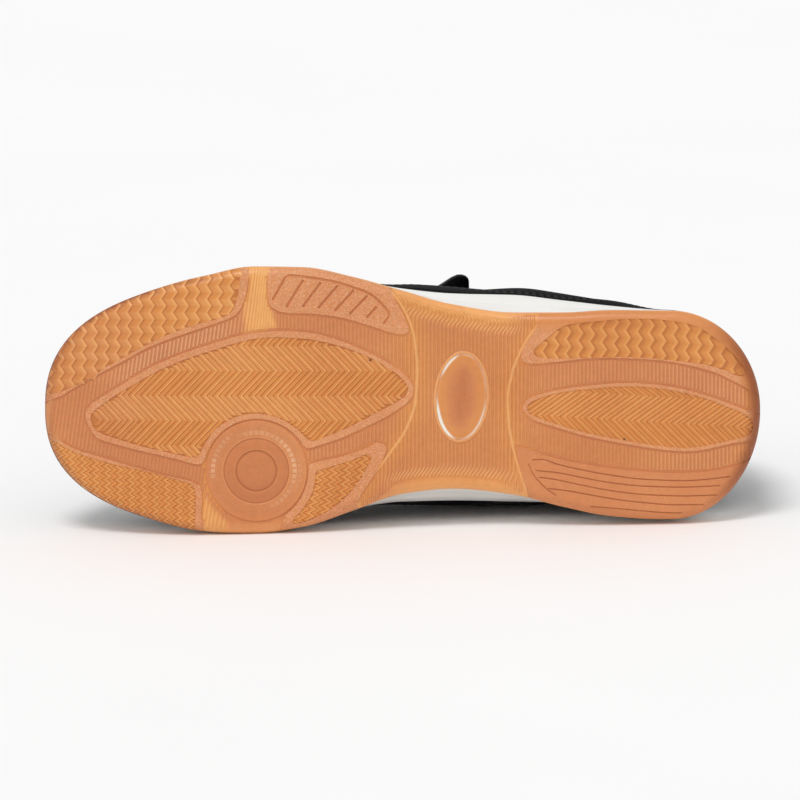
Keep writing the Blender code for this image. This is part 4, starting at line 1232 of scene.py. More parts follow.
def soft_relief(angle, t, points):
    """How far the outer wall stands out from its plain form."""
    collar = fade(place_at(angle, *UPPER_ENDS)[0], *COLLAR_X)
    seam = np.exp(-((t - COLLAR_SEAM) / COLLAR_SEAM_WIDTH) ** 2)
    out = collar * (COLLAR_PUFF * window(t, *COLLAR_UP) - COLLAR_SEAM_DEPTH * seam)
    x, y, z = (points[..., k] for k in range(3))
    vamp = ease(z, *VAMP_HEIGHT) * fade(t, *VAMP_UP)
    for place, depth, width in FLEX_LINES:
        line = place + FLEX_SWING * np.sin(y * FLEX_TURN + place) - FLEX_BEND * y ** 2
        out = out - depth * vamp * np.exp(-((x - line) / width) ** 2)
    return out


def over_wall(angle, t, height=0.0):
    """Points of the outer wall with its relief, at a height over it."""
    points = upper_point(angle, t)
    stand = soft_relief(angle, t, points) + height
    return points + upper_normal(angle, t) * stand[:, None]


# Steps round the upper, and up its outside and inside
ROUND_STEPS, OUTER_STEPS, INNER_STEPS = 320, 60, 24
ROUND_ANGLES = np.linspace(0.0, 2 * np.pi, ROUND_STEPS + 1)
# The rolled rim: its turns in degrees, and the share of the wall below it that it starts from
RIM_TURNS, BELOW_RIM = (30, 60, 90, 120, 150), 0.97


def cloth_paint(points, edge=0.0):
    """Real lengths along a grid's rows and columns, for a weave of the right size, and a painted highlight
    along its edges.
    """
    def run(axis):
        steps = np.linalg.norm(np.diff(points, axis=axis), axis=2)
        steps = np.concatenate((np.zeros_like(np.take(steps, [0], axis=axis)), steps), axis=axis)
        return np.cumsum(steps, axis=axis)

    along = np.broadcast_to(run(1).mean(axis=0), points.shape[:2])
    up = run(0)
    edge = np.broadcast_to(edge, up.shape)
    return np.stack((along, up, edge, np.ones_like(up)), axis=-1).reshape(-1, 4)


def add_grid(shell, points, slots=None, edge=0.0):
    """A grid of points as a sheet, with a slot for each of its rows of faces."""
    rows, columns = points.shape[:2]
    faces = grid_faces(rows, columns)
    slots = 0 if slots is None else np.repeat(slots, columns - 1)
    shell.add(points, faces, cloth_paint(points, edge), slots)


def make_upper(textile, lining):
    """The hollow wall: woven quarters outside, a rolled rim, and lining inside."""
    angle = ROUND_ANGLES
    rows = [over_wall(angle, t) for t in np.linspace(0.0, 1.0, OUTER_STEPS + 1)]
    brim = rows[-1]
    out, wall = upper_normal(angle, 1.0), wall_at(angle, 1.0)[:, None]
    up = unit(upper_point(angle, 1.0) - upper_point(angle, BELOW_RIM))
    for turn in np.radians(RIM_TURNS):
        rows.append(brim - out * wall / 2 * (1 - math.cos(turn)) + up * wall * RIM_CROWN * math.sin(turn))
    rows += [inner_point(angle, t) for t in np.linspace(1.0, 0.0, INNER_STEPS + 1)]
    rows.append(rows[0])
    shell = Shell()
    outside = OUTER_STEPS + 1
    add_grid(shell, np.stack(rows), [0] * outside + [1] * (len(rows) - 1 - outside))
    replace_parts(shell.make("upper_wall", "black_textile", textile, lining), "upper")


# A panel's rolled edge, in shares of its height: distance from the edge and rise. Its foot sits a bit deeper.
PANEL_ROLL, PANEL_SINK = ((0.0, 0.0), (0.0, 0.6), (0.25, 0.93), (0.7, 1.0)), 0.05


def panel_sheet(shell, angle, low, high, height, steps=14):
    """A sewn-on panel over the outer wall, between two shares of it, with rolled upper and lower edges.

    The height is one for all, or one for each angle."""
    length = np.linalg.norm(upper_point(angle, high) - upper_point(angle, low), axis=1)
    edge = height / length
    shares = [(low + edge * step * (high - low), rise) for step, rise in PANEL_ROLL]
    shares += [(low + (high - low) * k / steps, 1.0) for k in range(1, steps)]
    shares += [(high - edge * step * (high - low), rise) for step, rise in reversed(PANEL_ROLL)]
    rows = [over_wall(angle, t, height * rise - PANEL_SINK) for t, rise in shares]
    # The rolled edges carry a painted highlight, strongest at the outer edge
    add_grid(shell, np.stack(rows), edge=np.array([[1 - rise ** 3] for _, rise in shares]))


# The throat's trim: start along the foot, height, steps, and its edges as shares of the wall
EYESTAY_START, EYESTAY_HEIGHT, EYESTAY_STEPS = 106.0, 0.7, 220
EYESTAY_TOP, EYESTAY_LOW = 0.995, 0.99
EYESTAY_GROWTH = ((0.17, EYESTAY_START, 130), (0.03, 200, 280))
# The strip up the heel: half width as an angle, height, its ends as shares of the wall, rounding, and steps
BACKSTAY_HALF, BACKSTAY_HEIGHT, BACKSTAY_FOOT, BACKSTAY_TOP, BACKSTAY_ROUND = 0.15, 1.0, 0.02, 0.93, 0.035
BACKSTAY_COLUMNS, BACKSTAY_ROWS = 25, 40
# Height of the strip's side edges, as a share, and how much a column adds to it
BACKSTAY_EDGE, BACKSTAY_RISE = 0.05, 0.9
# The overlay's second layer, and where along the foot it lies
OVERLAY_STAY, OVERLAY_STAY_X, OVERLAY_ROWS = 1.3, (110, 134, 138, 158), 24
overlay_share = curve(OVERLAY, "share")


def overlay_height(angle):
    """Thickness of the overlay: a second layer stiffens it on the lateral side, below the straps."""
    x, side = place_at(angle, *UPPER_ENDS)
    return OVERLAY_STEP + OVERLAY_STAY * window(x, *OVERLAY_STAY_X) * (side == LATERAL)


def eyestay_low(angle):
    """Where the throat's trim starts up the wall: it runs out at the collar."""
    x, _ = place_at(angle, *UPPER_ENDS)
    return EYESTAY_LOW - sum(share * ease(x, low, high) for share, low, high in EYESTAY_GROWTH)


def make_panels(finish):
    """Overlay round the foot of the upper, trim along the throat, and a strip up the heel."""
    shell = Shell()
    x, _ = place_at(ROUND_ANGLES, *UPPER_ENDS)
    height = overlay_height(ROUND_ANGLES)
    panel_sheet(shell, ROUND_ANGLES, np.zeros_like(x), overlay_share(x), height, OVERLAY_ROWS)
    start = angle_at(EYESTAY_START, LATERAL)
    angle = np.linspace(start, 2 * np.pi - start, EYESTAY_STEPS)
    panel_sheet(shell, angle, eyestay_low(angle), np.full_like(angle, EYESTAY_TOP), EYESTAY_HEIGHT)
    angle = np.linspace(-BACKSTAY_HALF, BACKSTAY_HALF, BACKSTAY_COLUMNS)
    column = np.arange(BACKSTAY_COLUMNS)
    rise = BACKSTAY_EDGE + BACKSTAY_RISE * np.minimum(column, column[::-1])
    height = BACKSTAY_HEIGHT * np.minimum(1.0, rise)
    top = BACKSTAY_TOP - BACKSTAY_ROUND * (np.abs(angle) / BACKSTAY_HALF) ** 6
    panel_sheet(shell, angle, np.full_like(angle, BACKSTAY_FOOT), top, height, BACKSTAY_ROWS)
    shell.make("upper_panels", "black_synthetic", finish)


# Stitches: length, pitch and half width, corners of their ring, and ring places and sizes along them
STITCH_LENGTH, STITCH_PITCH, STITCH_HALF = 2.3, 3.0, 0.24
STITCH_CORNERS, STITCH_FLATNESS = 6, 0.75
STITCH_RINGS = ((-0.36, 0.75), (0.0, 1.0), (0.36, 0.75))


def stitch_faces():
    """Faces of one stitch: its rings, closed with a point at each end."""
    rings, corners = len(STITCH_RINGS), STITCH_CORNERS
    faces = grid_faces(rings, corners, wrap=True)
    start, end, last = rings * corners, rings * corners + 1, (rings - 1) * corners
    for k in range(corners):
        following = (k + 1) % corners
        faces += [(start, following, k), (end, last + k, last + following)]
    return faces


def sew(shell, line, normal):
    """A row of stitches along a line on the upper, each a small tapered bead."""
    steps = np.linalg.norm(np.diff(line, axis=0), axis=1)
    length = np.concatenate(([0.0], np.cumsum(steps)))
    turns = 2 * np.pi * np.arange(STITCH_CORNERS) / STITCH_CORNERS
    ring = [(math.cos(turn), STITCH_FLATNESS * math.sin(turn)) for turn in turns]
    faces = stitch_faces()
    for place in np.arange(STITCH_PITCH / 2, length[-1] - STITCH_LENGTH / 2, STITCH_PITCH):
        def at(values, shift):
            return np.array([np.interp(place + shift, length, values[:, k]) for k in range(3)])

        along = unit(at(line, 0.5) - at(line, -0.5))
        up = at(normal, 0.0)
        up = unit(up - along * np.dot(up, along))
        side = np.cross(along, up)
        middle = at(line, 0.0)
        points = [middle + along * s * STITCH_LENGTH + STITCH_HALF * w * (a * side + b * up)
                  for s, w in STITCH_RINGS for a, b in ring]
        points += [middle + along * s * STITCH_LENGTH - up * STITCH_HALF for s in (-0.5, 0.5)]
        shell.add(points, faces, 1.0)


def wall_seam(shell, angle, t, height):
    """Stitches on the outer wall along shares t of it, at a height over it."""
    sew(shell, over_wall(angle, t, height), upper_normal(angle, t))


# Insole, tongue and straps

# The insole's loops: distance in from its edge, height, and share of the heel's cup
INSOLE_LOOPS = (
    (2.0, 0.0, 0.0), (0.4, 0.4, 0.0), (0.0, 1.2, 0.0), (0.0, 3.2, 0.8), (0.5, 3.8, 1.0), (1.2, 4.0, 1.0),
    (2.6, 4.0, 0.75), (5.0, 4.0, 0.35), (8.0, 4.0, 0.1), (11.0, 4.0, 0.0),
)
CUP_X = (40, 130)
INSIDE_HIGHEST, INSIDE_ROUNDS = 0.6, 30


def make_insole(finish):
    """Sock liner inside the upper's foot, cupped at the heel."""
    angle = loop_angles(ROUND_STEPS // 2)

    def inside_at(height):
        """Plan of the upper's inside face at a height over the midsole."""
        low, high = np.zeros_like(angle), np.full_like(angle, INSIDE_HIGHEST)
        floor = upper_point(angle, 0.0)[:, 2]
        for _ in range(INSIDE_ROUNDS):
            t = (low + high) / 2
            points = inner_point(angle, t)
            under = points[:, 2] - floor < height
            low, high = np.where(under, t, low), np.where(under, high, t)
        return points[:, :2]

    foot, brim = (inset(inside_at(h), INSOLE_CLEARANCE) for h in (0.0, INSOLE_THICKNESS + HEEL_CUP))
    middle = np.array((SHOE_LENGTH / 2, 0.0))
    nearer = np.linalg.norm(foot - middle, axis=1) < np.linalg.norm(brim - middle, axis=1)
    narrow = np.where(nearer[:, None], foot, brim)
    loops = []
    for distance, height, cup in INSOLE_LOOPS:
        plan = inset(narrow, distance)
        cupped = HEEL_CUP * cup * fade(plan[:, 0], *CUP_X)
        loops.append(np.column_stack((plan, feather(plan[:, 0]) + GAP + height + cupped)))
    points = np.concatenate(loops)
    paint = np.column_stack((points[:, :2], np.zeros(len(points)), np.ones(len(points))))
    shell = Shell()
    shell.add(points, closed_form(loops), paint)
    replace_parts(shell.make("insole_cloth", "lining", finish), "insole")


THROAT_STEPS = 600


def throat_at(x):
    """Half width, height and slope of the throat's edge at a place along the foot, and the wall there."""
    places = np.linspace(*UPPER_ENDS, THROAT_STEPS)
    low = np.interp(x, places + section["shift"](places), places)
    angle = angle_at(low, LATERAL)
    top = upper_point(angle, 1.0)
    return top[..., 1], top[..., 2], np.radians(section["droop"](low)), wall_at(angle, 1.0)


def crown_at(half, droop):
    """How much higher the middle of the instep stands than the throat's edges."""
    return np.minimum(half * np.tan(droop) / 2, CROWN_MOST)


def tongue_height(x, y):
    """Height of the tongue's face under the throat, which it follows past its edges."""
    half, height, droop, wall = throat_at(np.minimum(x, THROAT_FRONT))
    edge = height - (wall + 2 * GAP) / np.cos(droop)
    crowned = edge + crown_at(half, droop) * (1 - (y / half) ** 2)
    return np.where(np.abs(y) <= half, crowned, edge - np.tan(droop) * TONGUE_FALL * (np.abs(y) - half))


TONGUE_ROWS, TONGUE_COLUMNS, TONGUE_SECTION = 70, 33, 9
TONGUE_FALL, TONGUE_PUFF, TONGUE_EDGE = 1.1, 0.9, 0.25
# Sewn channels, from a height up, and where the free end thins
QUILT_PITCH, QUILT_DEPTH, QUILT_WIDTH, QUILT_FROM = 11.0, 0.6, 0.9, 60
TIP_RANGE = (0.94, 1.0)


def make_tongue(finish):
    """Padded tongue with sewn channels, from under the vamp up to its rounded free end."""
    across = np.linspace(-1.0, 1.0, TONGUE_SECTION)
    rows = []
    for r in TONGUE:
        y = across * r.half_width
        rows.append((r.x, y, tongue_height(r.x, y) - r.sink))
    for r in TONGUE_TIP:
        rows.append((r.x, across * r.half_width, r.z - TONGUE_ARCH * across ** 2))
    rows = np.stack([np.stack(np.broadcast_arrays(*row), axis=1) for row in rows])
    fine = np.stack([open_curve(rows[:, k], TONGUE_ROWS) for k in range(TONGUE_SECTION)], axis=1)
    top = np.stack([open_curve(row, TONGUE_COLUMNS) for row in fine])
    s = np.linspace(-1.0, 1.0, TONGUE_COLUMNS)
    along = np.gradient(top[:, TONGUE_COLUMNS // 2], axis=0)
    up = unit(np.stack((along[:, 2], np.zeros(TONGUE_ROWS), -along[:, 0]), axis=1))[:, None, :]
    end = np.linspace(0.0, 1.0, TONGUE_ROWS)
    rim = (1 - np.abs(s) ** 6)[None, :] * (1 - ease(end, *TIP_RANGE) ** 3)[:, None]
    quilt = np.exp(-((top[..., 0] % QUILT_PITCH - QUILT_PITCH / 2) / QUILT_WIDTH) ** 2)
    quilt = quilt * (top[..., 2] > QUILT_FROM)
    puff = TONGUE_PUFF * (1 - s ** 2)[None, :] - QUILT_DEPTH * quilt * (1 - s ** 4)[None, :]
    half = TONGUE_THICKNESS / 2
    thick = half * (TONGUE_EDGE + (1 - TONGUE_EDGE) * rim)
    middle = top - up * half
    face = middle + up * (thick + puff * rim)[..., None]
    back = middle - up * thick[..., None]
    points = np.concatenate((face, back[:, ::-1]), axis=1)
    shell = Shell()
    shell.add(points, band_faces(*points.shape[:2]), cloth_paint(points))
    tongue = shell.make("tongue_pad", "black_textile", finish, sharp_angle=60)
    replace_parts(tongue, "tongue")


STRAP_COLUMNS = 15
# Steps of the strap's path up the medial wall, over the throat and down the lateral wall
STRAP_STEPS = (12, 18, 26)
# Rounding of the medial end, the tail's lift along the strap and across it, and the lift's rounded nose
MEDIAL_ROUND, LIFT_ALONG, LIFT_ACROSS, NOSE, NOSE_SHARE = 0.02, (0.45, 1.0), (0.12, 0.62), 0.12, 0.6
PATH_SMOOTHINGS = 4


def strap_path(strap, share):
    """Points under the strap, from its medial end over the throat to its lateral tail, and the way out there.

    The share runs from 0 at the strap's rear edge to 1 at its front edge."""
    x = strap.rear + share * (strap.front - strap.rear)
    medial_steps, over_steps, lateral_steps = STRAP_STEPS
    medial, lateral = angle_at(x, MEDIAL), angle_at(x, LATERAL)
    start = strap.medial_end + MEDIAL_ROUND * (2 * share - 1) ** 4
    t = np.linspace(start, 1.0, medial_steps, endpoint=False)
    points, ways = [upper_point(medial, t)], [upper_normal(np.full_like(t, medial), t)]
    top = upper_point(lateral, 1.0)
    crown = crown_at(top[1], np.radians(section["droop"](x)))
    y = top[1] * np.linspace(-1.0, 1.0, over_steps)
    arch = top[2] + crown * (1 - (y / top[1]) ** 2)
    points.append(np.stack((np.full(over_steps, top[0]), y, arch), axis=1))
    way = np.stack((np.zeros(over_steps), 2 * crown * y / top[1] ** 2, np.ones(over_steps)), axis=1)
    ways.append(unit(way))
    k = np.arange(1, lateral_steps + 1) / lateral_steps
    t = 1.0 - (1.0 - strap.lateral_end - TAIL_ROUND * (2 * share - 1) ** 2) * k
    way = upper_normal(np.full_like(t, lateral), t)
    nose = NOSE_SHARE + (1 - NOSE_SHARE) * math.sqrt(1 - (1 - min(share / NOSE, 1.0)) ** 2)
    lift = strap.tail_lift * ease(k, *LIFT_ALONG) * fade(share, *LIFT_ACROSS) * nose
    points.append(upper_point(lateral, t) + way * lift[:, None])
    ways.append(way)
    points, ways = np.concatenate(points), np.concatenate(ways)
    for _ in range(PATH_SMOOTHINGS):
        for line in (points, ways):
            line[1:-1] = (line[:-2] + 2 * line[1:-1] + line[2:]) / 4
    return points, unit(ways)


# The strap's edge thickness as a share, its crown, and its seams: share of the width, and stand over the face
STRAP_EDGE, STRAP_CROWN = 0.3, 0.35
STRAP_SEAM, STRAP_SEAM_STAND, STRAP_SEAM_ENDS = 0.11, 0.05, 2


def make_strap(strap, face_finish, back_finish, thread):
    """A strap with rounded edges and a slight crown, loop tape under it, and seams along its edges."""
    shares = (1 - np.cos(np.linspace(0.0, np.pi, STRAP_COLUMNS))) / 2
    paths = [strap_path(strap, share) for share in shares]
    points = np.stack([p for p, _ in paths], axis=1)
    ways = np.stack([w for _, w in paths], axis=1)
    stations = len(points)
    edge = (1 - np.abs(2 * shares - 1) ** 8)[None, :]
    ending = np.minimum(np.arange(stations), np.arange(stations)[::-1])
    edge = edge * (1 - (1 - np.clip(ending / 2, 0.0, 1.0)) ** 2)[:, None]
    half = STRAP_THICKNESS / 2 * (STRAP_EDGE + (1 - STRAP_EDGE) * edge)
    crown = STRAP_CROWN * (1 - (2 * shares - 1) ** 2)[None, :]
    middle = points + ways * (STRAP_CLEARANCE + STRAP_THICKNESS / 2)
    face = middle + ways * (half + crown * edge)[..., None]
    back = middle - ways * half[..., None]
    loops = np.concatenate((face, back[:, ::-1]), axis=1)
    faces = band_faces(*loops.shape[:2])
    slots = ([0] * STRAP_COLUMNS + [1] * (STRAP_COLUMNS - 1) + [0]) * (stations - 1)
    slots += [0] * (len(faces) - len(slots))
    shell = Shell()
    # The strap's rounded edges carry a painted highlight
    painted_edge_light = np.concatenate((1 - edge, 1 - edge), axis=1)
    shell.add(loops, faces, cloth_paint(loops, painted_edge_light), slots)
    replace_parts(shell.make(strap.name + "_tape", "strap_synthetic", face_finish, back_finish), strap.name)
    stand = STRAP_CLEARANCE + STRAP_THICKNESS + STRAP_SEAM_STAND
    for share in (STRAP_SEAM, 1 - STRAP_SEAM):
        line, way = (row[STRAP_SEAM_ENDS:-STRAP_SEAM_ENDS] for row in strap_path(strap, share))
        sew(thread, line + way * stand, way)


# Seams: how deep the thread sits, drops below the overlay's edge, and the heel strip's and trim's seams
SEAM_SINK, OVERLAY_SEAMS, OVERLAY_SEAM_GAP = 0.12, (0.028, 0.056), 0.01
BACKSTAY_SEAM, BACKSTAY_SEAM_ENDS, BACKSTAY_SEAM_DROP = 0.12, 0.04, 0.035
EYESTAY_SEAM, EYESTAY_SEAM_START = 0.025, EYESTAY_START + 8
# Points along each seam's line
OVERLAY_LINE, BACKSTAY_LINE, BACKSTAY_TOP_LINE, EYESTAY_LINE = 900, 200, 100, 600


def make_stitches(thread, finish):
    """Seams along the overlay, the heel strip and the throat's trim, joined with the straps' seams."""
    def round_shoe(start, count):
        return np.linspace(start, 2 * np.pi - start, count)

    angle = round_shoe(BACKSTAY_HALF + OVERLAY_SEAM_GAP, OVERLAY_LINE)
    x, _ = place_at(angle, *UPPER_ENDS)
    for drop in OVERLAY_SEAMS:
        wall_seam(thread, angle, overlay_share(x) - drop, overlay_height(angle) - SEAM_SINK)
    up = np.linspace(BACKSTAY_SEAM_ENDS, BACKSTAY_TOP - BACKSTAY_SEAM_ENDS, BACKSTAY_LINE)
    height = BACKSTAY_HEIGHT - SEAM_SINK
    for side in (LATERAL, MEDIAL):
        wall_seam(thread, np.full_like(up, side * BACKSTAY_SEAM), up, height)
    across = np.linspace(-BACKSTAY_SEAM, BACKSTAY_SEAM, BACKSTAY_TOP_LINE)
    wall_seam(thread, across, np.full_like(across, BACKSTAY_TOP - BACKSTAY_SEAM_DROP), height)
    angle = round_shoe(angle_at(EYESTAY_SEAM_START, LATERAL), EYESTAY_LINE)
    wall_seam(thread, angle, eyestay_low(angle) + EYESTAY_SEAM, EYESTAY_HEIGHT - SEAM_SINK)
    thread.make("stitches", "black_synthetic", finish)


# Materials

NOISE_ROUGHNESS, NOISE_RANGE = 0.55, (0.3, 0.7)


class Finish:
    """A node material, with short ways to add and join its nodes."""

    def __init__(self, name):
        self.material = bpy.data.materials.new(name)
        self.material.use_nodes = True
        self.tree = self.material.node_tree
        self.shader = self.tree.nodes["Principled BSDF"]
        self.place = self.node("ShaderNodeTexCoord").outputs["Object"]

    def node(self, kind, **settings):
        made = self.tree.nodes.new(kind)
        for name, value in settings.items():
            setattr(made, name, value)
        return made

    def put(self, node, socket, value):
        """Sets a socket to a value, or joins another node's output to it."""
        if isinstance(value, bpy.types.NodeSocket):
            self.tree.links.new(value, node.inputs[socket])
        else:
            node.inputs[socket].default_value = value

    def painted(self):
        """Red, green, blue and alpha of the mesh's paint."""
        paint = self.node("ShaderNodeAttribute", attribute_name="paint")
        parts = self.node("ShaderNodeSeparateColor")
        self.put(parts, "Color", paint.outputs["Color"])
        return *(parts.outputs[k] for k in range(3)), paint.outputs["Alpha"]

    def noise(self, scale, detail=3.0):
        made = self.node("ShaderNodeTexNoise")
        settings = {"Vector": self.place, "Scale": scale, "Detail": detail, "Roughness": NOISE_ROUGHNESS}
        for socket, value in settings.items():
            self.put(made, socket, value)
        return made.outputs["Fac"]

    def voronoi(self, scale, feature="F1"):
        made = self.node("ShaderNodeTexVoronoi", feature=feature)
        self.put(made, "Vector", self.place)
        self.put(made, "Scale", scale)
        return made.outputs["Distance"]

    def spread(self, value, low, high, new_low=0.0, new_high=1.0):
        """A value's range moved to another range."""
        made = self.node("ShaderNodeMapRange")
        for socket, given in zip(range(5), (value, low, high, new_low, new_high)):
            self.put(made, socket, given)
        return made.outputs[0]

    def vary(self, noise, low, high):
        """A noise's usual range moved to another range."""
        return self.spread(noise, *NOISE_RANGE, low, high)

    def math(self, operation, a, b):
        made = self.node("ShaderNodeMath", operation=operation)
        self.put(made, 0, a)
        self.put(made, 1, b)
        return made.outputs[0]

    def ramp(self, value, *stops):
        """A colour ramp with stops of place and linear colour."""
        made = self.node("ShaderNodeValToRGB")
        elements = made.color_ramp.elements
        for element, (place, colour) in zip(elements, (stops[0], stops[-1])):
            element.position = place
            element.color = (*colour, 1.0)
        for place, colour in stops[1:-1]:
            elements.new(place).color = (*colour, 1.0)
        self.put(made, "Fac", value)
        return made.outputs["Color"]

    def blend(self, noise, *colours):
        """Two colours over a noise's usual range."""
        return self.ramp(noise, *zip(NOISE_RANGE, colours))

    def mix(self, factor, a, b, blend="MIX"):
        made = self.node("ShaderNodeMix", data_type="RGBA", blend_type=blend)
        for socket, value in ((0, factor), (6, a), (7, b)):
            if isinstance(value, tuple):
                value = (*value, 1.0)
            self.put(made, socket, value)
        return made.outputs[2]

    def bump(self, height, distance, strength=1.0, under=None):
        made = self.node("ShaderNodeBump")
        self.put(made, "Height", height)
        self.put(made, "Distance", distance)
        self.put(made, "Strength", strength)
        if under is not None:
            self.put(made, "Normal", under)
        return made.outputs["Normal"]

    def set(self, **sockets):
        for name, value in sockets.items():
            self.put(self.shader, name.replace("_", " "), value)


# Colours that the paint's alpha mixes in: pale cream for painted highlights and paler rubber, brown for dirt
# and painted shade, and black for soot and painted shade
PALE_CREAM, BROWN_DIRT_AND_SHADE, SOOT_AND_SHADE_BLACK = (0.93, 0.89, 0.81), (0.32, 0.078, 0.012), (0.06, 0.042, 0.034)


def gum_rubber():
    """Translucent gum rubber: gold in the ridged fields, rosier where it is thick, and pale on its edges,
    with painted shade and highlights from its paint.
    """
    finish = Finish("gum_rubber_tread")
    shade, rose, stipple, alpha = finish.painted()
    cloud = finish.noise(28.0)
    mottle = finish.noise(420.0, detail=2.0)
    shade = finish.math("ADD", shade, finish.vary(cloud, -0.12, 0.12))
    # Each ramp runs from painted shade in the grooves to a painted highlight on the crests
    gold = finish.ramp(
        shade, (0.0, (0.58, 0.18, 0.034)), (0.4, (0.72, 0.26, 0.055)), (1.0, (0.89, 0.42, 0.13)),
    )
    rosy = finish.ramp(
        shade, (0.0, (0.54, 0.165, 0.050)), (0.5, (0.66, 0.23, 0.074)), (1.0, (0.80, 0.35, 0.13)),
    )
    colour = finish.mix(rose, gold, rosy)
    pimples = finish.noise(1900.0, detail=1.0)
    speck = finish.math("MULTIPLY", finish.spread(pimples, 0.47, 0.62, 0.0, 0.75), stipple)
    colour = finish.mix(speck, colour, (0.84, 0.42, 0.23))
    for full, none, tint in ((1.0, 0.0, PALE_CREAM), (-1.0, 0.0, BROWN_DIRT_AND_SHADE), (-2.0, -1.0, SOOT_AND_SHADE_BLACK)):
        colour = finish.mix(finish.spread(alpha, none, full), colour, tint)
    tone = finish.spread(mottle, 0.25, 0.75, 0.95, 1.05)
    toned = finish.node("ShaderNodeCombineColor")
    for k in range(3):
        finish.put(toned, k, tone)
    colour = finish.mix(1.0, colour, toned.outputs["Color"], "MULTIPLY")
    grain = finish.math("MULTIPLY", pimples, stipple)
    normal = finish.bump(grain, 0.00035, 0.9)
    normal = finish.bump(finish.noise(900.0, detail=2.0), 0.00006, 0.5, normal)
    finish.set(Base_Color=colour, Roughness=finish.vary(cloud, 0.36, 0.5), Normal=normal)
    finish.set(Subsurface_Weight=0.08, Subsurface_Radius=(0.0016, 0.0008, 0.0004), Subsurface_Scale=1.0)
    finish.set(Coat_Weight=0.06, Coat_Roughness=0.3)
    return finish.material


def white_foam():
    """Painted foam with a fine moulded grain and a faint grey cast in places."""
    finish = Finish("white_foam_midsole")
    cloud = finish.noise(35.0, detail=4.0)
    colour = finish.blend(cloud, (0.80, 0.79, 0.755), (0.87, 0.865, 0.84))
    normal = finish.bump(finish.noise(1500.0, detail=2.0), 0.00012, 0.6)
    roughness = finish.vary(finish.noise(60.0), 0.45, 0.6)
    finish.set(Base_Color=colour, Roughness=roughness, Normal=normal)
    finish.set(Subsurface_Weight=0.08, Subsurface_Radius=(0.002, 0.002, 0.0018), Subsurface_Scale=1.0)
    return finish.material


def weave(finish, pitch):
    """Height of a plain weave of the given pitch in millimetres, from the lengths painted on the cloth."""
    waves = []
    for length in finish.painted()[:2]:
        turn = finish.math("MULTIPLY", length, 2 * math.pi / pitch)
        waves.append(finish.math("SINE", turn, 0.0))
    return finish.spread(finish.math("MULTIPLY", *waves), -1.0, 1.0)


def woven(name, pitch, dark, light, depth, roughness, sheen=0.0):
    """Black cloth with a weave, a little fluff and paler threads."""
    finish = Finish(name)
    height = weave(finish, pitch)
    fluff = finish.noise(1800.0, detail=3.0)
    level = finish.math("ADD", finish.math("MULTIPLY", height, 0.7), finish.math("MULTIPLY", fluff, 0.3))
    colour = finish.ramp(level, (0.2, dark), (0.85, light))
    normal = finish.bump(level, depth, 0.9)
    rough = finish.vary(fluff, roughness - 0.08, roughness)
    finish.set(Base_Color=colour, Normal=normal, Roughness=rough)
    finish.set(Specular_IOR_Level=0.05, Sheen_Weight=sheen, Sheen_Roughness=0.5)
    return finish.material


def synthetic(name, light, grain, roughness, gloss):
    """Black coated synthetic with a fine leather grain, a soft gloss and a painted highlight along its edges.
    """
    finish = Finish(name)
    cells = finish.voronoi(grain, "SMOOTH_F1")
    cloud = finish.noise(40.0, detail=4.0)
    colour = finish.blend(cloud, (0.004, 0.004, 0.0045), light)
    # Painted highlight along the rolled edges of panels and straps
    _, _, edge, _ = finish.painted()
    colour = finish.mix(edge, colour, (0.035, 0.035, 0.037))
    normal = finish.bump(cells, 0.00016, 0.5)
    normal = finish.bump(finish.noise(260.0, detail=2.0), 0.00010, 0.4, normal)
    finish.set(Base_Color=colour, Normal=normal)
    finish.set(Roughness=finish.vary(cloud, roughness - 0.05, roughness + 0.06))
    finish.set(Specular_IOR_Level=gloss)
    return finish.material


def thread_finish():
    """Twisted black thread, a little greyer than what it sews."""
    finish = Finish("sewing_thread")
    twist = finish.noise(2600.0, detail=2.0)
    colour = finish.blend(twist, (0.022, 0.022, 0.024), (0.055, 0.055, 0.058))
    finish.set(Base_Color=colour, Roughness=finish.vary(twist, 0.5, 0.7))
    finish.set(Normal=finish.bump(twist, 0.00012, 0.7))
    return finish.material


# Camera, light and floor

PHOTO_SIZE, MM_PER_PIXEL = 800, 0.4047
AIM = (145.9, 4.3, 3.0)
CAMERA_TILT, CAMERA_DISTANCE = 5.2, 4.0
SENSOR = 36.0


def add_camera():
    """Looks at the sole as the photo does, with the toe on the left and the lateral side up."""
    tilt = math.radians(CAMERA_TILT)
    back = Vector(TURN @ np.array((0.0, math.sin(tilt), -math.cos(tilt))))
    right = Vector(TURN @ np.array((-1.0, 0.0, 0.0)))
    up = back.cross(right)
    data = bpy.data.cameras.new("camera")
    data.sensor_width = SENSOR
    data.lens = SENSOR * CAMERA_DISTANCE / (PHOTO_SIZE * MM_PER_PIXEL * MM)
    camera = add_object("camera", data)
    turn = Matrix((right, up, back)).transposed().to_4x4()
    camera.matrix_world = Matrix.Translation(Vector(world(AIM)) + back * CAMERA_DISTANCE) @ turn
    bpy.context.scene.camera = camera


SUN_ELEVATION, SUN_AZIMUTH, SUN_POWER, SUN_SOFTNESS = 66.0, -28.0, 1.3, 22.0
SKY_POWER, FLOOR_HALF = 0.66, 12


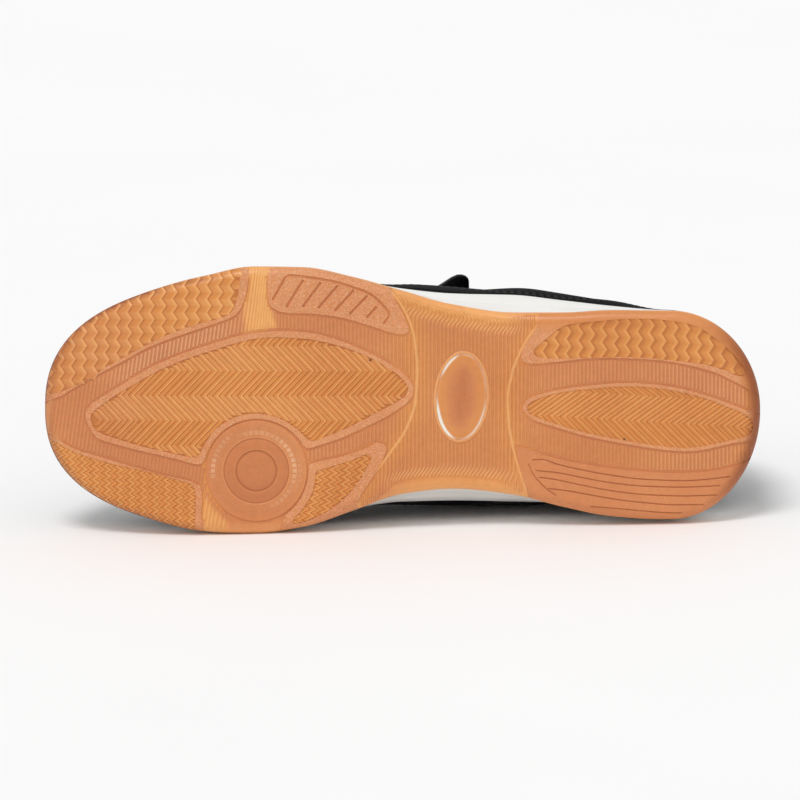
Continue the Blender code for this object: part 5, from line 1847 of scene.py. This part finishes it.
def add_sun():
    """Soft light from above, in front and to the left. Azimuth 0 is straight in front of the sole."""
    data = bpy.data.lights.new("soft_sun", "SUN")
    data.energy = SUN_POWER
    data.angle = math.radians(SUN_SOFTNESS)
    sun = add_object("soft_sun", data)
    a, e = math.radians(SUN_AZIMUTH), math.radians(SUN_ELEVATION)
    back = Vector((math.sin(a) * math.cos(e), -math.cos(a) * math.cos(e), math.sin(e)))
    sun.rotation_euler = (-back).to_track_quat("-Z", "Y").to_euler()
    sun.location = back


def add_stage():
    """A plain pale floor under a white sky, with soft light from the front and above."""
    mesh = bpy.data.meshes.new("floor")
    corners = [(a * FLOOR_HALF, b * FLOOR_HALF, 0) for a, b in ((-1, -1), (1, -1), (1, 1), (-1, 1))]
    mesh.from_pydata(corners, [], [(0, 1, 2, 3)])
    finish = Finish("pale_floor")
    colour = finish.blend(finish.noise(3.0), (0.93, 0.93, 0.93), (0.95, 0.95, 0.95))
    finish.set(Base_Color=colour, Roughness=0.8)
    mesh.materials.append(finish.material)
    floor = add_object("floor", mesh)
    sky = bpy.data.worlds.new("white_sky")
    sky.use_nodes = True
    inputs = sky.node_tree.nodes["Background"].inputs
    inputs["Color"].default_value = (1.0, 1.0, 1.0, 1.0)
    inputs["Strength"].default_value = SKY_POWER
    bpy.context.scene.world = sky
    add_sun()
    bpy.context.scene.view_settings.view_transform = "Standard"


quarter = woven("quarter_weave", 1.5, (0.004, 0.004, 0.004), (0.032, 0.032, 0.033), 0.0003, 0.85)
tongue_cloth = woven("tongue_weave", 1.8, (0.003, 0.003, 0.003), (0.015, 0.015, 0.016), 0.0003, 0.88)
lining = woven("lining_knit", 1.1, (0.006, 0.006, 0.006), (0.022, 0.022, 0.023), 0.0002, 0.95, sheen=0.1)
loop_tape = woven("loop_tape", 0.9, (0.014, 0.014, 0.014), (0.055, 0.055, 0.057), 0.0003, 0.95)
overlay = synthetic("overlay_synthetic", (0.009, 0.009, 0.0095), 1300.0, 0.58, 0.03)
strap_face = synthetic("strap_face", (0.008, 0.008, 0.0085), 1700.0, 0.5, 0.12)

make_outsole(gum_rubber())
make_midsole(white_foam())
make_upper(quarter, lining)
make_panels(overlay)
make_insole(lining)
make_tongue(tongue_cloth)
thread = Shell()
for strap in STRAPS:
    make_strap(strap, strap_face, loop_tape, thread)
make_stitches(thread, thread_finish())
add_camera()
add_stage()
